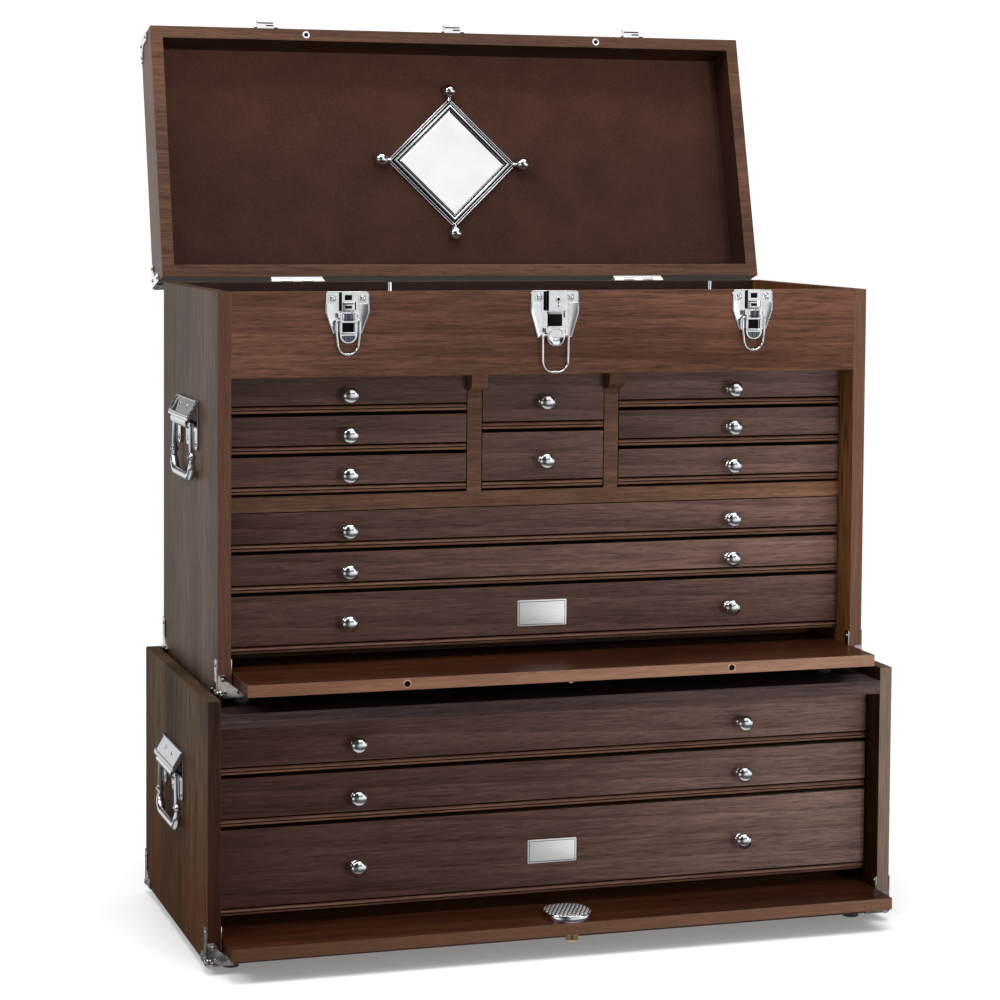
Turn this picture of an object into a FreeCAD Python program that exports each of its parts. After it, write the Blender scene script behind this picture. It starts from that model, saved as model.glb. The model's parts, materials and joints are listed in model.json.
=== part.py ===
import FreeCAD, Part
import math
import os
import types

import Sketcher

# Wooden machinist's chest with eleven drawers, its lid open, standing in the nest of a base with three
# drawers. Millimetres, +X to the right, -Y to the front, +Z up. The origin is on the floor at the middle of
# the whole object.

SIZES = {
    # chest case
    "chest_width": 660,
    "chest_depth": 269.5,
    "case_board": 12.7,
    "case_back_board": 9.5,
    "case_bottom_board": 9.5,
    "till_front_height": 80.7,
    "till_floor_board": 6.4,
    "shelf_rail": 14.8,
    "shelf_board": 6.4,
    "rail_depth": 28,
    "dust_board": 9,
    "dust_board_setback": 45,
    "divider_board": 14.5,
    "centre_column": 126.6,
    "small_stack": 115.3,
    "wide_drawer": 39.5,
    "deep_drawer": 58.4,
    "drawer_recess": 30.3,
    "corbel_width": 16,
    "corbel_height": 17,
    "corbel_depth": 17.5,
    "corbel_round": 12,
    # lid
    "lid_height": 55,
    "lid_top_board": 12.7,
    "lid_lining_felt": 2,
    "lid_angle": 105,
    # base
    "base_setback": 36.6,
    "base_board": 12.7,
    "base_rail": 13.1,
    "base_back_board": 6.4,
    "base_bottom_board": 12,
    "nest_depth": 13,
    "nest_gap": 4.3,
    "nest_back_gap": 1.6,
    "base_top_drawer": 52.9,
    "base_middle_drawer": 48.8,
    "base_bottom_drawer": 85,
    "foot_height": 9.5,
    "foot_radius": 8,
    "foot_inset": 28,
    # front panels, stowed flat
    "panel_board": 11.3,
    "panel_gap": 1,
    "panel_side_gap": 2.2,
    "chest_panel_out": 63.1,
    "base_panel_out": 39.2,
    "lock_hole_radius": 3.2,
    "lock_hole_depth": 14,
    # drawers
    "drawer_gap": 1,
    "drawer_top_gap": 1,
    "drawer_bottom_gap": 2.3,
    "drawer_rear_gap": 3,
    "drawer_front_board": 12.7,
    "drawer_side_board": 9.5,
    "drawer_back_board": 8,
    "drawer_bottom_board": 4,
    "drawer_bottom_raise": 3,
    "drawer_side_drop": 3,
    "bead_radius": 3,
    "bead_quirk": 1.8,
    "runner_height": 6.4,
    "runner_clearance": 0.3,
    "groove_depth": 5,
    "groove_end_gap": 0.6,
    "groove_drop": 0.7,
    # knobs
    "knob_radius": 8,
    "knob_length": 17,
    "knob_neck": 3.6,
    "knob_waist": 4.4,
    "knob_waist_out": 6,
    "knob_rim": 12.5,
    "knob_crown_radius": 5.4,
    # lock pins
    "pin_radius": 1.9,
    "pin_spacing": 326.4,
    "pin_stand": 8.3,
    "pin_cover": 0.5,
    "running_fit": 0.08,
    # lid hinges
    "hinge_offset": 5,
    "hinge_length": 55,
    "hinge_spacing": 378,
    "hinge_barrel": 3.2,
    "hinge_pin": 1.4,
    "hinge_tip": 1.6,
    "hinge_play": 0.15,
    "hinge_leaf": 2.6,
    "hinge_leaf_height": 13,
    "hinge_knuckle_gap": 0.3,
    "hinge_leaf_gap": 0.4,
    # latches; the drops are measured down from the case's top edge
    "latch_spacing": 412.6,
    "latch_width": 42.5,
    "latch_height": 39.5,
    "latch_foot_width": 28.5,
    "latch_shoulder": 20,
    "latch_rib_width": 12.4,
    "latch_rib_length": 19,
    "latch_rib": 3,
    "latch_slot_width": 7.2,
    "latch_slot_height": 5,
    "latch_slot_drop": 3.2,
    "latch_axle_drop": 22.5,
    "latch_lever_width": 16.6,
    "latch_lever_drop": 48.5,
    "latch_window_width": 12.6,
    "latch_window_top": 29.2,
    "latch_window_bottom": 38.5,
    "latch_bail_width": 23.2,
    "latch_bail_drop": 59.3,
    "latch_bail_bend": 9,
    "latch_lever_bend": 7.4,
    "lock_width": 49,
    "lock_height": 45,
    "lock_foot_width": 35,
    "lock_shoulder": 21.5,
    "lock_cover_width": 17.5,
    "lock_cover_length": 19.6,
    "lock_cover": 8,
    "lock_axle_drop": 38.3,
    "lock_lever_width": 17.5,
    "lock_lever_drop": 53.3,
    "lock_window_width": 15,
    "lock_window_top": 23,
    "lock_window_bottom": 34.5,
    "lock_bail_width": 26,
    "lock_bail_drop": 78.6,
    "lock_bail_bend": 11,
    "lock_lever_bend": 8,
    "latch_plate": 1.5,
    "latch_corner": 2,
    "latch_gap": 0.3,
    "axle_radius": 1.3,
    "axle_out": 4.8,
    "ear_radius": 2.2,
    "ear_board": 1.6,
    "lever_board": 2,
    "lever_block": 3.6,
    "wire_radius": 1.05,
    "wire_pitch": 4.5,
    "pin_play": 0.1,
    "axle_play": 0.16,
    # keepers on the lid
    "keeper_width": 42,
    "keeper_plate": 1.6,
    "keeper_height": 10,
    "keeper_hook_width": 18,
    "keeper_hook": 8,
    "keeper_hook_height": 7,
    "keeper_rise": 2.5,
    # side handles
    "handle_width": 95,
    "handle_top_above_middle": 82,
    "base_handle_drop": 56,
    "handle_board": 2,
    "hood_out": 12,
    "hood_drop": 17,
    "barrel_width": 74,
    "barrel_radius": 5.6,
    "handle_plate_height": 31,
    "handle_tail_width": 12,
    "handle_tail_height": 48,
    "handle_tab_width": 16,
    "handle_tab_height": 46,
    "handle_clip": 4,
    "grip_radius": 3.9,
    "grip_clearance": 0.4,
    "grip_bend": 12,
    "bail_width": 84,
    "bail_drop": 52,
    # corner guards
    "guard_board": 1.2,
    "guard_reach": 25,
    "guard_front_rise": 21,
    "guard_side_rise": 36,
    "guard_arm": 9.5,
    "guard_hollow": 6,
    "guard_tip": 3,
    # mirror
    "mirror_side": 103,
    "mirror_frame_width": 9.5,
    "mirror_step": 3.2,
    "mirror_frame_height": 8,
    "mirror_glass_board": 4,
    "mirror_glass_gap": 0.3,
    "mirror_ball_radius": 5.8,
    "mirror_ball_stem": 2.6,
    "mirror_ball_out": 7,
    "mirror_ball_flat": 3.4,
    # lock of the base's front panel
    "lock_case_length": 46,
    "lock_case_width": 44,
    "lock_case_height": 8,
    "lock_case_flat": 30,
    "lock_barrel_radius": 6.5,
    "lock_barrel_length": 7.5,
    "lock_barrel_inset": 9,
    "lock_barrel_gap": 0.3,
    # facets of a round bar: the fittings' small bars, and the handles' grips and barrels
    "bar_sides": 12,
    "grip_sides": 12,
    # one overrun for all cuts
    "overrun": 1,
}

V = FreeCAD.Vector
doc = FreeCAD.newDocument("ToolChest")
sheet = doc.addObject("Spreadsheet::Sheet", "Sizes")
for row, (alias, value) in enumerate(SIZES.items(), start=1):
    sheet.set(f"A{row}", alias)
    sheet.set(f"B{row}", str(value))
    sheet.setAlias(f"B{row}", alias)
doc.recompute()


class Size:
    """A value with the formula that gives it from the sheet's cells."""

    def __init__(self, value, formula):
        self.value = value
        self.formula = formula

    def __add__(self, other):
        return Size(self.value + plain(other), f"({self.formula} + {formula(other)})")

    def __radd__(self, other):
        return Size(plain(other) + self.value, f"({formula(other)} + {self.formula})")

    def __sub__(self, other):
        return Size(self.value - plain(other), f"({self.formula} - {formula(other)})")

    def __rsub__(self, other):
        return Size(plain(other) - self.value, f"({formula(other)} - {self.formula})")

    def __mul__(self, other):
        return Size(self.value * plain(other), f"({self.formula} * {formula(other)})")

    def __truediv__(self, other):
        return Size(self.value / plain(other), f"({self.formula} / {formula(other)})")

    def __neg__(self):
        return Size(-self.value, f"(-1 * {self.formula})")

    __rmul__ = __mul__


def plain(size):
    return size.value if isinstance(size, Size) else size


def formula(size):
    return size.formula if isinstance(size, Size) else str(size)


def cosine(angle):
    return Size(math.cos(math.radians(angle.value)), f"cos({angle.formula})")


def sine(angle):
    return Size(math.sin(math.radians(angle.value)), f"sin({angle.formula})")


def root(size):
    return Size(math.sqrt(size.value), f"sqrt({size.formula})")


s = types.SimpleNamespace(**{alias: Size(float(sheet.get(alias)), f"Sizes.{alias}") for alias in SIZES})

# heights
base_z = s.foot_height
base_panel_z = base_z + s.base_bottom_board + s.panel_gap
base_dust_z = base_panel_z + s.panel_board + s.panel_gap
base_drawers_z = base_dust_z + s.dust_board
base_rail_z = base_drawers_z + s.base_bottom_drawer + s.base_middle_drawer + s.base_top_drawer
base_top = base_rail_z + s.base_rail
nest_top = base_top + s.nest_depth
chest_z = base_top + s.foot_height
chest_panel_z = chest_z + s.case_bottom_board + s.panel_gap
chest_dust_z = chest_panel_z + s.panel_board + s.panel_gap
wide_drawers_z = chest_dust_z + s.dust_board
shelf_z = wide_drawers_z + s.deep_drawer + 2 * s.wide_drawer
small_drawers_z = shelf_z + s.shelf_rail
till_z = small_drawers_z + s.small_stack
case_top = till_z + s.till_front_height

# widths, from the middle
half = s.chest_width / 2
inner = half - s.case_board
centre = s.centre_column / 2
divider = centre + s.divider_board
base_inner = half + s.nest_gap
base_half = base_inner + s.base_board

# depths: the whole object, from the base's stowed panel to the open lid, is centred on the origin
lid_reach = s.chest_depth + s.hinge_offset
front_reach = s.base_setback + s.base_panel_out
rear_reach = lid_reach - lid_reach * cosine(s.lid_angle) + s.lid_height * sine(s.lid_angle)
front = (front_reach - rear_reach) / 2
back = front + s.chest_depth
back_face = back - s.case_back_board
face = front + s.drawer_recess
base_front = front - s.base_setback
base_back = back + s.nest_back_gap + s.base_back_board
base_back_face = base_back - s.base_back_board
base_face = base_front + s.drawer_recess
hinge_y = back + s.hinge_offset

BEND_STEPS = 3
FLARE_WEDGES = 4
KNUCKLES = 5
MIRROR_STEPS = 3
TURNS = {
    "x": FreeCAD.Rotation(V(0, 1, 0), 90),
    "y": FreeCAD.Rotation(V(1, 0, 0), -90),
    "z": FreeCAD.Rotation(),
}


def bind(thing, sizes):
    for target, size in sizes.items():
        thing.setExpression(target, formula(size))


def put(thing, x, y, z):
    bind(thing, {"Placement.Base.x": x, "Placement.Base.y": y, "Placement.Base.z": z})
    return thing


def box(name, x, y, z):
    """A block between two values on each axis."""
    block = doc.addObject("Part::Box", name)
    bind(block, {"Length": x[1] - x[0], "Width": y[1] - y[0], "Height": z[1] - z[0]})
    return put(block, x[0], y[0], z[0])


def cylinder(name, axis, radius, length, x, y, z):
    """A round bar that starts at a point and runs along an axis."""
    bar = doc.addObject("Part::Cylinder", name)
    bar.Placement = FreeCAD.Placement(V(), TURNS[axis])
    bind(bar, {"Radius": radius, "Height": length})
    return put(bar, x, y, z)


def bar(name, axis, radius, length, x, y, z, sides=None):
    """A thin round bar drawn with flats, which keeps the many small fittings light."""
    rod = doc.addObject("Part::Prism", name)
    rod.Placement = FreeCAD.Placement(V(), TURNS[axis])
    bind(rod, {"Polygon": sides or s.bar_sides, "Circumradius": radius, "Height": length})
    return put(rod, x, y, z)


def compound(name, pieces):
    group = doc.addObject("Part::Compound", name)
    group.Links = pieces
    return group


def cut(name, base, tools):
    shape = doc.addObject("Part::Cut", name)
    shape.Base = base
    shape.Tool = tools[0] if len(tools) == 1 else compound(f"{name}_tools", tools)
    return shape


def fuse(name, pieces):
    shape = doc.addObject("Part::MultiFuse", name)
    shape.Shapes = pieces
    return shape


def sketch_on(body, name, plane):
    sketch = body.newObject("Sketcher::SketchObject", name)
    origin_plane = [item for item in body.Origin.OriginFeatures if item.Role == plane][0]
    sketch.AttachmentSupport = (origin_plane, [""])
    sketch.MapMode = "FlatFace"
    return sketch


def arc_between(start, end, radius, turn):
    """The short arc from start to end, turning left (1) or right (-1), as part of a circle."""
    chord = end - start
    middle = (start + end) / 2
    rise = math.sqrt(max(radius * radius - chord.Length * chord.Length / 4, 0))
    normal = V(-chord.y, chord.x, 0) / chord.Length
    centre_point = middle + normal * rise * turn
    first, last = (start, end) if turn > 0 else (end, start)
    angle = math.atan2(first.y - centre_point.y, first.x - centre_point.x)
    sweep = math.atan2(last.y - centre_point.y, last.x - centre_point.x)
    return Part.ArcOfCircle(Part.Circle(centre_point, V(0, 0, 1), radius), angle, sweep)


def at(geometry, point, u, v):
    """The two constraints that hold a point of the sketch at u, v from its origin."""
    return [(Sketcher.Constraint("DistanceX", -1, 1, geometry, point, plain(u)), u),
            (Sketcher.Constraint("DistanceY", -1, 1, geometry, point, plain(v)), v)]


def constrain(sketch, rules):
    """Add the constraints together, then bind each that has a size."""
    numbers = sketch.addConstraint([rule for rule, size in rules])
    for number, (rule, size) in zip(numbers, rules):
        if size is not None:
            sketch.renameConstraint(number, f"size{number}")
            sketch.setExpression(f"Constraints.size{number}", formula(size))


def draw(sketch, corners):
    """Draw a closed outline of corners (u, v); after (u, v, radius, turn) an arc leads to the next one."""
    ends = []
    rules = []
    for index, here in enumerate(corners):
        there = corners[(index + 1) % len(corners)]
        start = V(plain(here[0]), plain(here[1]), 0)
        end = V(plain(there[0]), plain(there[1]), 0)
        if len(here) == 2:
            sketch.addGeometry(Part.LineSegment(start, end), False)
            ends.append((1, 2))
        else:
            sketch.addGeometry(arc_between(start, end, plain(here[2]), here[3]), False)
            ends.append((1, 2) if here[3] > 0 else (2, 1))
            rules.append((Sketcher.Constraint("Radius", index, plain(here[2])), here[2]))
    for index, here in enumerate(corners):
        after = (index + 1) % len(corners)
        rules.append((Sketcher.Constraint("Coincident", index, ends[index][1], after, ends[after][0]), None))
        rules += at(index, ends[index][0], here[0], here[1])
    constrain(sketch, rules)


def draw_flats(sketch, radius, sides):
    """Draw a round bar's section with flats, its first corner on the sketch's own axis."""
    count = int(sides.value)
    angles = [2 * math.pi * number / count for number in range(count)]
    draw(sketch, [(radius * math.cos(angle), radius * math.sin(angle)) for angle in angles])


def prism(name, plane, corners, length, reverse=False, holes=()):
    """An outline on one of its own planes, padded by a length. Inner outlines in holes stay open."""
    body = doc.addObject("PartDesign::Body", name)
    sketch = sketch_on(body, f"{name}_outline", plane)
    draw(sketch, corners)
    pad = body.newObject("PartDesign::Pad", f"{name}_pad")
    pad.Profile = sketch
    pad.Reversed = reverse
    bind(pad, {"Length": length})
    for number, hole in enumerate(holes):
        opening = sketch_on(body, f"{name}_hole_{number}", plane)
        draw(opening, hole)
        pocket = body.newObject("PartDesign::Pocket", f"{name}_pocket_{number}")
        pocket.Profile = opening
        pocket.Reversed = not reverse
        bind(pocket, {"Length": length})
    return body


def flare(name, near, far):
    """A band with flats along -Y, from one radius and distance to the next: what four-sided wedges share."""
    band = None
    for number in range(FLARE_WEDGES):
        wedge = doc.addObject("Part::Wedge", f"{name}_wedge_{number}")
        wedge.Placement = FreeCAD.Placement(V(), FreeCAD.Rotation(V(0, 1, 0), 90 * number / FLARE_WEDGES))
        bind(wedge, {"Ymin": -far[1], "Xmin": -far[0], "Xmax": far[0], "Zmin": -far[0], "Zmax": far[0]})
        bind(wedge, {"Ymax": -near[1], "X2min": -near[0], "X2max": near[0],
                     "Z2min": -near[0], "Z2max": near[0]})
        if band is None:
            band = wedge
        else:
            both_wedges = doc.addObject("Part::Common", f"{name}_common_{number}")
            both_wedges.Base = band
            both_wedges.Tool = wedge
            band = both_wedges
    return band


def turned(name, stations):
    """A turned piece that stands out along -Y, flared between stations of a radius and a distance."""
    return fuse(name, [flare(f"{name}_band_{number}", near, far)
                       for number, (near, far) in enumerate(zip(stations, stations[1:]))])


def bend_corners(u, v, bend, first):
    """The corners of a quarter bend round u, v, from an angle in quarters of a turn, to the left and down."""
    angles = [math.radians(90 * (first - step / BEND_STEPS)) for step in range(BEND_STEPS + 1)]
    return [(u + bend * math.cos(angle), v + bend * math.sin(angle)) for angle in angles]


def ring(name, plane, round_plane, width, drop, bend, radius, sides):
    """A closed loop of bar that hangs from the middle of its top run, which lies on the body's origin."""
    body = doc.addObject("PartDesign::Body", name)
    side = width / 2
    path = sketch_on(body, f"{name}_path", plane)
    draw(path, [(0, 0), (side, 0), *bend_corners(side - bend, bend - drop, bend, 0),
                *bend_corners(bend - side, bend - drop, bend, -1), (-side, 0)])
    section = sketch_on(body, f"{name}_section", round_plane)
    draw_flats(section, radius, sides)
    pipe = body.newObject("PartDesign::AdditivePipe", f"{name}_pipe")
    pipe.Profile = section
    pipe.Spine = (path, [])
    pipe.Transition = "Right corner"
    return body


nodes = []


def node(name, pieces):
    """Name one piece, or several pieces together, as a sub-part."""
    part = pieces[0] if len(pieces) == 1 else compound(name, pieces)
    part.Label = name
    nodes.append(part)
    return part


def lid_node(name, pieces):
    """Pieces drawn in the closed lid, with the hinge axis as their origin, turned open with it."""
    part = compound(name, pieces)
    part.Placement = FreeCAD.Placement(V(), FreeCAD.Rotation(V(-1, 0, 0), s.lid_angle.value))
    part.setExpression("Placement.Rotation.Angle", s.lid_angle.formula)
    put(part, 0, hinge_y, case_top)
    nodes.append(part)
    return part


def both(make):
    """Make a piece on the left and on the right; the side is -1 or 1."""
    return [make(name, side) for name, side in (("left", -1), ("right", 1))]


def span(side, near, far):
    """The two values of a stretch that lies between near and far, on the left or on the right."""
    return (near, far) if side > 0 else (-far, -near)


def four(make):
    """Make a piece at each of four corners."""
    return [make(f"{depth}_{name}", side, end) for depth, end in (("front", -1), ("rear", 1))
            for name, side in (("left", -1), ("right", 1))]


def side_boards(name, near, far, y, z):
    node(name, both(lambda label, side: box(f"{name}_{label}", span(side, near, far), y, z)))


def build_case():
    side_boards("chest_sides", inner, half, (front, back), (chest_z, case_top))
    side_boards("base_sides", base_inner, base_half, (base_front, base_back), (base_z, nest_top))
    node("back_boards", [
        box("chest_back", (-inner, inner), (back_face, back), (chest_z, case_top)),
        box("base_back", (-base_inner, base_inner), (base_back_face, base_back), (base_z, nest_top)),
    ])
    node("bottom_boards", [
        box("chest_bottom", (-inner, inner), (front, back_face), (chest_z, chest_z + s.case_bottom_board)),
        box("base_bottom", (-base_inner, base_inner), (base_front, base_back_face),
            (base_z, base_z + s.base_bottom_board)),
    ])
    rail_back = base_front + s.rail_depth
    node("base_top_board", [
        box("base_front_rail", (-base_inner, base_inner), (base_front, rail_back), (base_rail_z, base_top)),
        box("base_top", (-base_inner, base_inner), (rail_back, base_back_face), (base_rail_z, base_top)),
    ])
    bores = both(lambda label, side: bar(
        f"pin_bore_{label}", "z", s.pin_radius + s.running_fit, s.till_front_height + 2 * s.overrun,
        side * s.pin_spacing / 2, front + s.panel_board / 2, till_z - s.overrun))
    board = box("till_front_board", (-inner, inner), (front, front + s.case_board), (till_z, case_top))
    node("till_front", [cut("till_front_cut", board, bores)])


def corbel(label, side):
    top, depth, bend = s.corbel_height, s.corbel_depth, s.corbel_round
    block = prism(f"corbel_{label}", "YZ_Plane",
                  [(0, bend, bend, 1), (bend, 0), (depth, 0), (depth, top), (0, top)], s.corbel_width)
    middle = side * (centre + s.divider_board / 2)
    return put(block, middle - s.corbel_width / 2, face - depth, till_z - top)


def build_inner_boards():
    across = (-inner, inner)
    rail_back = face + s.rail_depth
    setback = s.dust_board_setback
    node("inner_boards", [
        box("till_floor", across, (front + s.case_board, back_face), (till_z, till_z + s.till_floor_board)),
        box("shelf_rail_board", across, (face, rail_back), (shelf_z, small_drawers_z)),
        box("shelf", across, (rail_back, back_face), (small_drawers_z - s.shelf_board, small_drawers_z)),
        box("chest_dust_board", across, (face + setback, back_face), (chest_dust_z, wide_drawers_z)),
        box("base_dust_board", (-base_inner, base_inner), (base_face + setback, base_back_face),
            (base_dust_z, base_drawers_z)),
    ] + both(lambda label, side: box(
        f"divider_{label}", span(side, centre, divider), (face, back_face), (small_drawers_z, till_z)))
      + both(corbel))


def build_feet():
    def feet(name, width, y, z):
        return four(lambda label, side, end: bar(
            f"{name}_foot_{label}", "z", s.foot_radius, s.foot_height, side * (width - s.foot_inset),
            y[0] + s.foot_inset if end < 0 else y[1] - s.foot_inset, z))
    node("feet", feet("chest", half, (front, back), base_top)
         + feet("base", base_half, (base_front, base_back), 0))


runners = []


def build_drawer(name, x, z, wall_y, rear_y, knobs):
    """One drawer in a cell of the case, with its knobs and the two runners that carry it."""
    left, right = x[0] + s.drawer_gap, x[1] - s.drawer_gap
    low, high = z[0] + s.drawer_bottom_gap, z[1] - s.drawer_top_gap
    board_back = wall_y + s.drawer_front_board
    rear = rear_y - s.drawer_rear_gap
    bead = s.bead_radius
    height = high - low
    front_board = prism(f"{name}_front", "YZ_Plane", [
        (bead, 0), (s.drawer_front_board, 0), (s.drawer_front_board, height), (0, height),
        (0, 2 * bead + s.bead_quirk), (bead, 2 * bead + s.bead_quirk), (bead, 2 * bead, bead, 1),
        (0, bead, bead, 1),
    ], right - left)
    put(front_board, left, wall_y, low)
    middle = (z[0] + z[1]) / 2
    runner_z = (middle - s.runner_height / 2, middle + s.runner_height / 2)
    groove_z = (runner_z[0] - s.groove_drop, runner_z[1] + s.runner_clearance)
    side_z = (low + s.drawer_bottom_raise / 2, high - s.drawer_side_drop)
    boards = [front_board]
    for label, outer, way in (("left", left, 1), ("right", right, -1)):
        inside = outer + way * s.drawer_side_board
        deep = outer + way * s.groove_depth
        open_side = outer - way * s.overrun
        wall = outer - way * s.drawer_gap
        ledge = deep - way * s.groove_end_gap
        board = box(f"{name}_side_{label}_board", (outer, inside) if way > 0 else (inside, outer),
                    (board_back, rear), side_z)
        groove = box(f"{name}_groove_{label}", (open_side, deep) if way > 0 else (deep, open_side),
                     (board_back - s.overrun, rear + s.overrun), groove_z)
        boards.append(cut(f"{name}_side_{label}", board, [groove]))
        runners.append(box(f"{name}_runner_{label}", (wall, ledge) if way > 0 else (ledge, wall),
                           (board_back + s.drawer_gap, rear_y), runner_z))
    across = (left + s.drawer_side_board, right - s.drawer_side_board)
    boards.append(box(f"{name}_back", across, (rear - s.drawer_back_board, rear), side_z))
    floor_z = low + s.drawer_bottom_raise
    boards.append(box(f"{name}_floor", across, (board_back, rear - s.drawer_back_board),
                      (floor_z, floor_z + s.drawer_bottom_board)))
    node(name, boards)
    copies = [put(compound(f"{name}_knob_{number}", [knob]), place, wall_y, middle)
              for number, place in enumerate(knobs)]
    node(f"{name}_knobs" if len(knobs) > 1 else f"{name}_knob", copies)


def build_knob():
    """The turned knob, drawn once: it flares from its neck to the rim, with a shallow crown."""
    return turned("knob", [(s.knob_neck, 0), (s.knob_waist, s.knob_waist_out), (s.knob_radius, s.knob_rim),
                           (s.knob_crown_radius, s.knob_length)])


def build_drawers():
    small = s.small_stack
    side_knob = (divider + inner) / 2
    for name, x, place in (("left", (-inner, -divider), -side_knob), ("right", (divider, inner), side_knob)):
        for number, order in enumerate(("top", "middle", "bottom")):
            z = (till_z - small * (number + 1) / 3, till_z - small * number / 3)
            build_drawer(f"{name}_{order}_drawer", x, z, face, back_face, [place])
    for number, order in enumerate(("top", "bottom")):
        z = (till_z - small * (number + 1) / 2, till_z - small * number / 2)
        build_drawer(f"centre_{order}_drawer", (-centre, centre), z, face, back_face, [0])
    tops = shelf_z
    for order, height in (("upper", s.wide_drawer), ("middle", s.wide_drawer), ("lower", s.deep_drawer)):
        build_drawer(f"wide_{order}_drawer", (-inner, inner), (tops - height, tops), face, back_face,
                     [-side_knob, side_knob])
        tops = tops - height
    tops = base_rail_z
    for order, height in (("upper", s.base_top_drawer), ("middle", s.base_middle_drawer),
                          ("lower", s.base_bottom_drawer)):
        build_drawer(f"base_{order}_drawer", (-base_inner, base_inner), (tops - height, tops), base_face,
                     base_back_face, [-side_knob, side_knob])
        tops = tops - height
    node("drawer_runners", runners)


def build_panels():
    width = inner - s.panel_side_gap
    length = till_z - chest_z - s.case_bottom_board - 2 * s.panel_gap
    edge = front - s.chest_panel_out
    board = box("chest_panel_board", (-width, width), (edge, edge + length),
                (chest_panel_z, chest_panel_z + s.panel_board))
    holes = both(lambda label, side: bar(
        f"lock_hole_{label}", "y", s.lock_hole_radius, s.lock_hole_depth + s.overrun,
        side * s.pin_spacing / 2, edge - s.overrun, chest_panel_z + s.panel_board / 2))
    node("chest_front_panel", [cut("chest_front_panel_cut", board, holes)])
    width = base_inner - s.panel_side_gap
    length = base_rail_z - base_z - s.base_bottom_board - 2 * s.panel_gap
    edge = base_front - s.base_panel_out
    board = box("base_panel_board", (-width, width), (edge, edge + length),
                (base_panel_z, base_panel_z + s.panel_board))
    hole = cylinder("barrel_hole", "z", s.lock_barrel_radius + s.lock_barrel_gap,
                    s.panel_board + 2 * s.overrun, 0, edge + s.lock_barrel_inset, base_panel_z - s.overrun)
    node("base_front_panel", [cut("base_front_panel_cut", board, [hole])])
    wide, flat, deep = s.lock_case_width / 2, s.lock_case_flat / 2, s.lock_case_length
    case = prism("lock_case", "XY_Plane", [
        (-flat, 0), (flat, 0, deep / 2, 1), (wide, deep / 2, wide, 1), (0, deep, wide, 1),
        (-wide, deep / 2, deep / 2, 1),
    ], s.lock_case_height)
    put(case, 0, edge, base_panel_z + s.panel_board)
    barrel = bar("lock_barrel", "z", s.lock_barrel_radius, s.lock_barrel_length + s.panel_board,
                 0, edge + s.lock_barrel_inset, base_panel_z - s.lock_barrel_length)
    node("base_panel_lock", [case, barrel])


def build_lock_pins():
    node("lock_pins", both(lambda label, side: bar(
        f"lock_pin_{label}", "z", s.pin_radius, s.till_front_height + s.pin_stand - s.pin_cover,
        side * s.pin_spacing / 2, front + s.panel_board / 2, till_z + s.pin_cover)))


def knuckle_stretch(number):
    pitch = s.hinge_length / KNUCKLES
    low = pitch * number
    return low + s.hinge_knuckle_gap / 2, pitch - s.hinge_knuckle_gap


def hinge_half(name, place, turn, y, z, leaf_z):
    """One leaf of a butt hinge: turn 0 has the pin and the outer knuckles, turn 1 those between them."""
    start = place - s.hinge_length / 2
    own = [number for number in range(KNUCKLES) if number % 2 == turn]
    others = [number for number in range(KNUCKLES) if number % 2 != turn]
    tools = []
    for number in others:
        low, length = knuckle_stretch(number)
        tools.append(bar(f"{name}_room_{number}", "x", s.hinge_barrel + s.hinge_leaf_gap,
                         length + 2 * s.hinge_knuckle_gap, start + low - s.hinge_knuckle_gap, y, z))
    wall_y = y - s.hinge_offset
    leaf = box(f"{name}_leaf_board", (start, start + s.hinge_length), (wall_y, wall_y + s.hinge_leaf), leaf_z)
    pieces = [cut(f"{name}_leaf", leaf, tools)]
    for number in own:
        low, length = knuckle_stretch(number)
        pieces.append(bar(f"{name}_knuckle_{number}", "x", s.hinge_barrel, length, start + low, y, z))
    if turn == 0:
        pieces.append(bar(f"{name}_pin", "x", s.hinge_pin, s.hinge_length, start, y, z))
        tip = start + s.hinge_length
        pieces.append(cylinder(f"{name}_tip", "x", s.hinge_pin, s.hinge_tip, tip, y, z))
        return fuse(f"{name}_half", pieces)
    bore = bar(f"{name}_bore", "x", s.hinge_pin + s.hinge_play, s.hinge_length + 2 * s.overrun,
               start - s.overrun, y, z)
    return cut(f"{name}_half", fuse(f"{name}_solid", pieces), [bore])


def build_hinge_leaves():
    node("hinge_leaves", both(lambda label, side: hinge_half(
        f"case_hinge_{label}", side * s.hinge_spacing / 2, 0, hinge_y, case_top,
        (case_top - s.hinge_leaf_height, case_top - s.hinge_leaf_gap))))


def build_lid():
    near, far = -lid_reach, -s.hinge_offset
    rim_front, rim_back = near + s.case_board, far - s.case_board
    under = s.lid_height - s.lid_top_board
    lid_node("lid_frame", both(lambda label, side: box(
        f"lid_side_{label}", span(side, inner, half), (near, far), (0, s.lid_height))) + [
        box("lid_front", (-inner, inner), (near, rim_front), (0, s.lid_height)),
        box("lid_back", (-inner, inner), (rim_back, far), (0, s.lid_height)),
        box("lid_top", (-inner, inner), (rim_front, rim_back), (under, s.lid_height)),
    ])
    lining = under - s.lid_lining_felt
    lid_node("lid_lining", [box("lid_felt", (-inner, inner), (rim_front, rim_back), (lining, under))])
    build_mirror((near + far) / 2, lining)
    build_lid_fittings(near)


def diamond(name, side_length, low, high, y):
    """A square block set on its corner, with its middle on X = 0."""
    block = doc.addObject("Part::Box", name)
    block.Placement = FreeCAD.Placement(V(), FreeCAD.Rotation(V(0, 0, 1), 45))
    bind(block, {"Length": side_length, "Width": side_length, "Height": high - low})
    return put(block, 0, y - side_length / root(Size(2, "2")), low)


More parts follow.
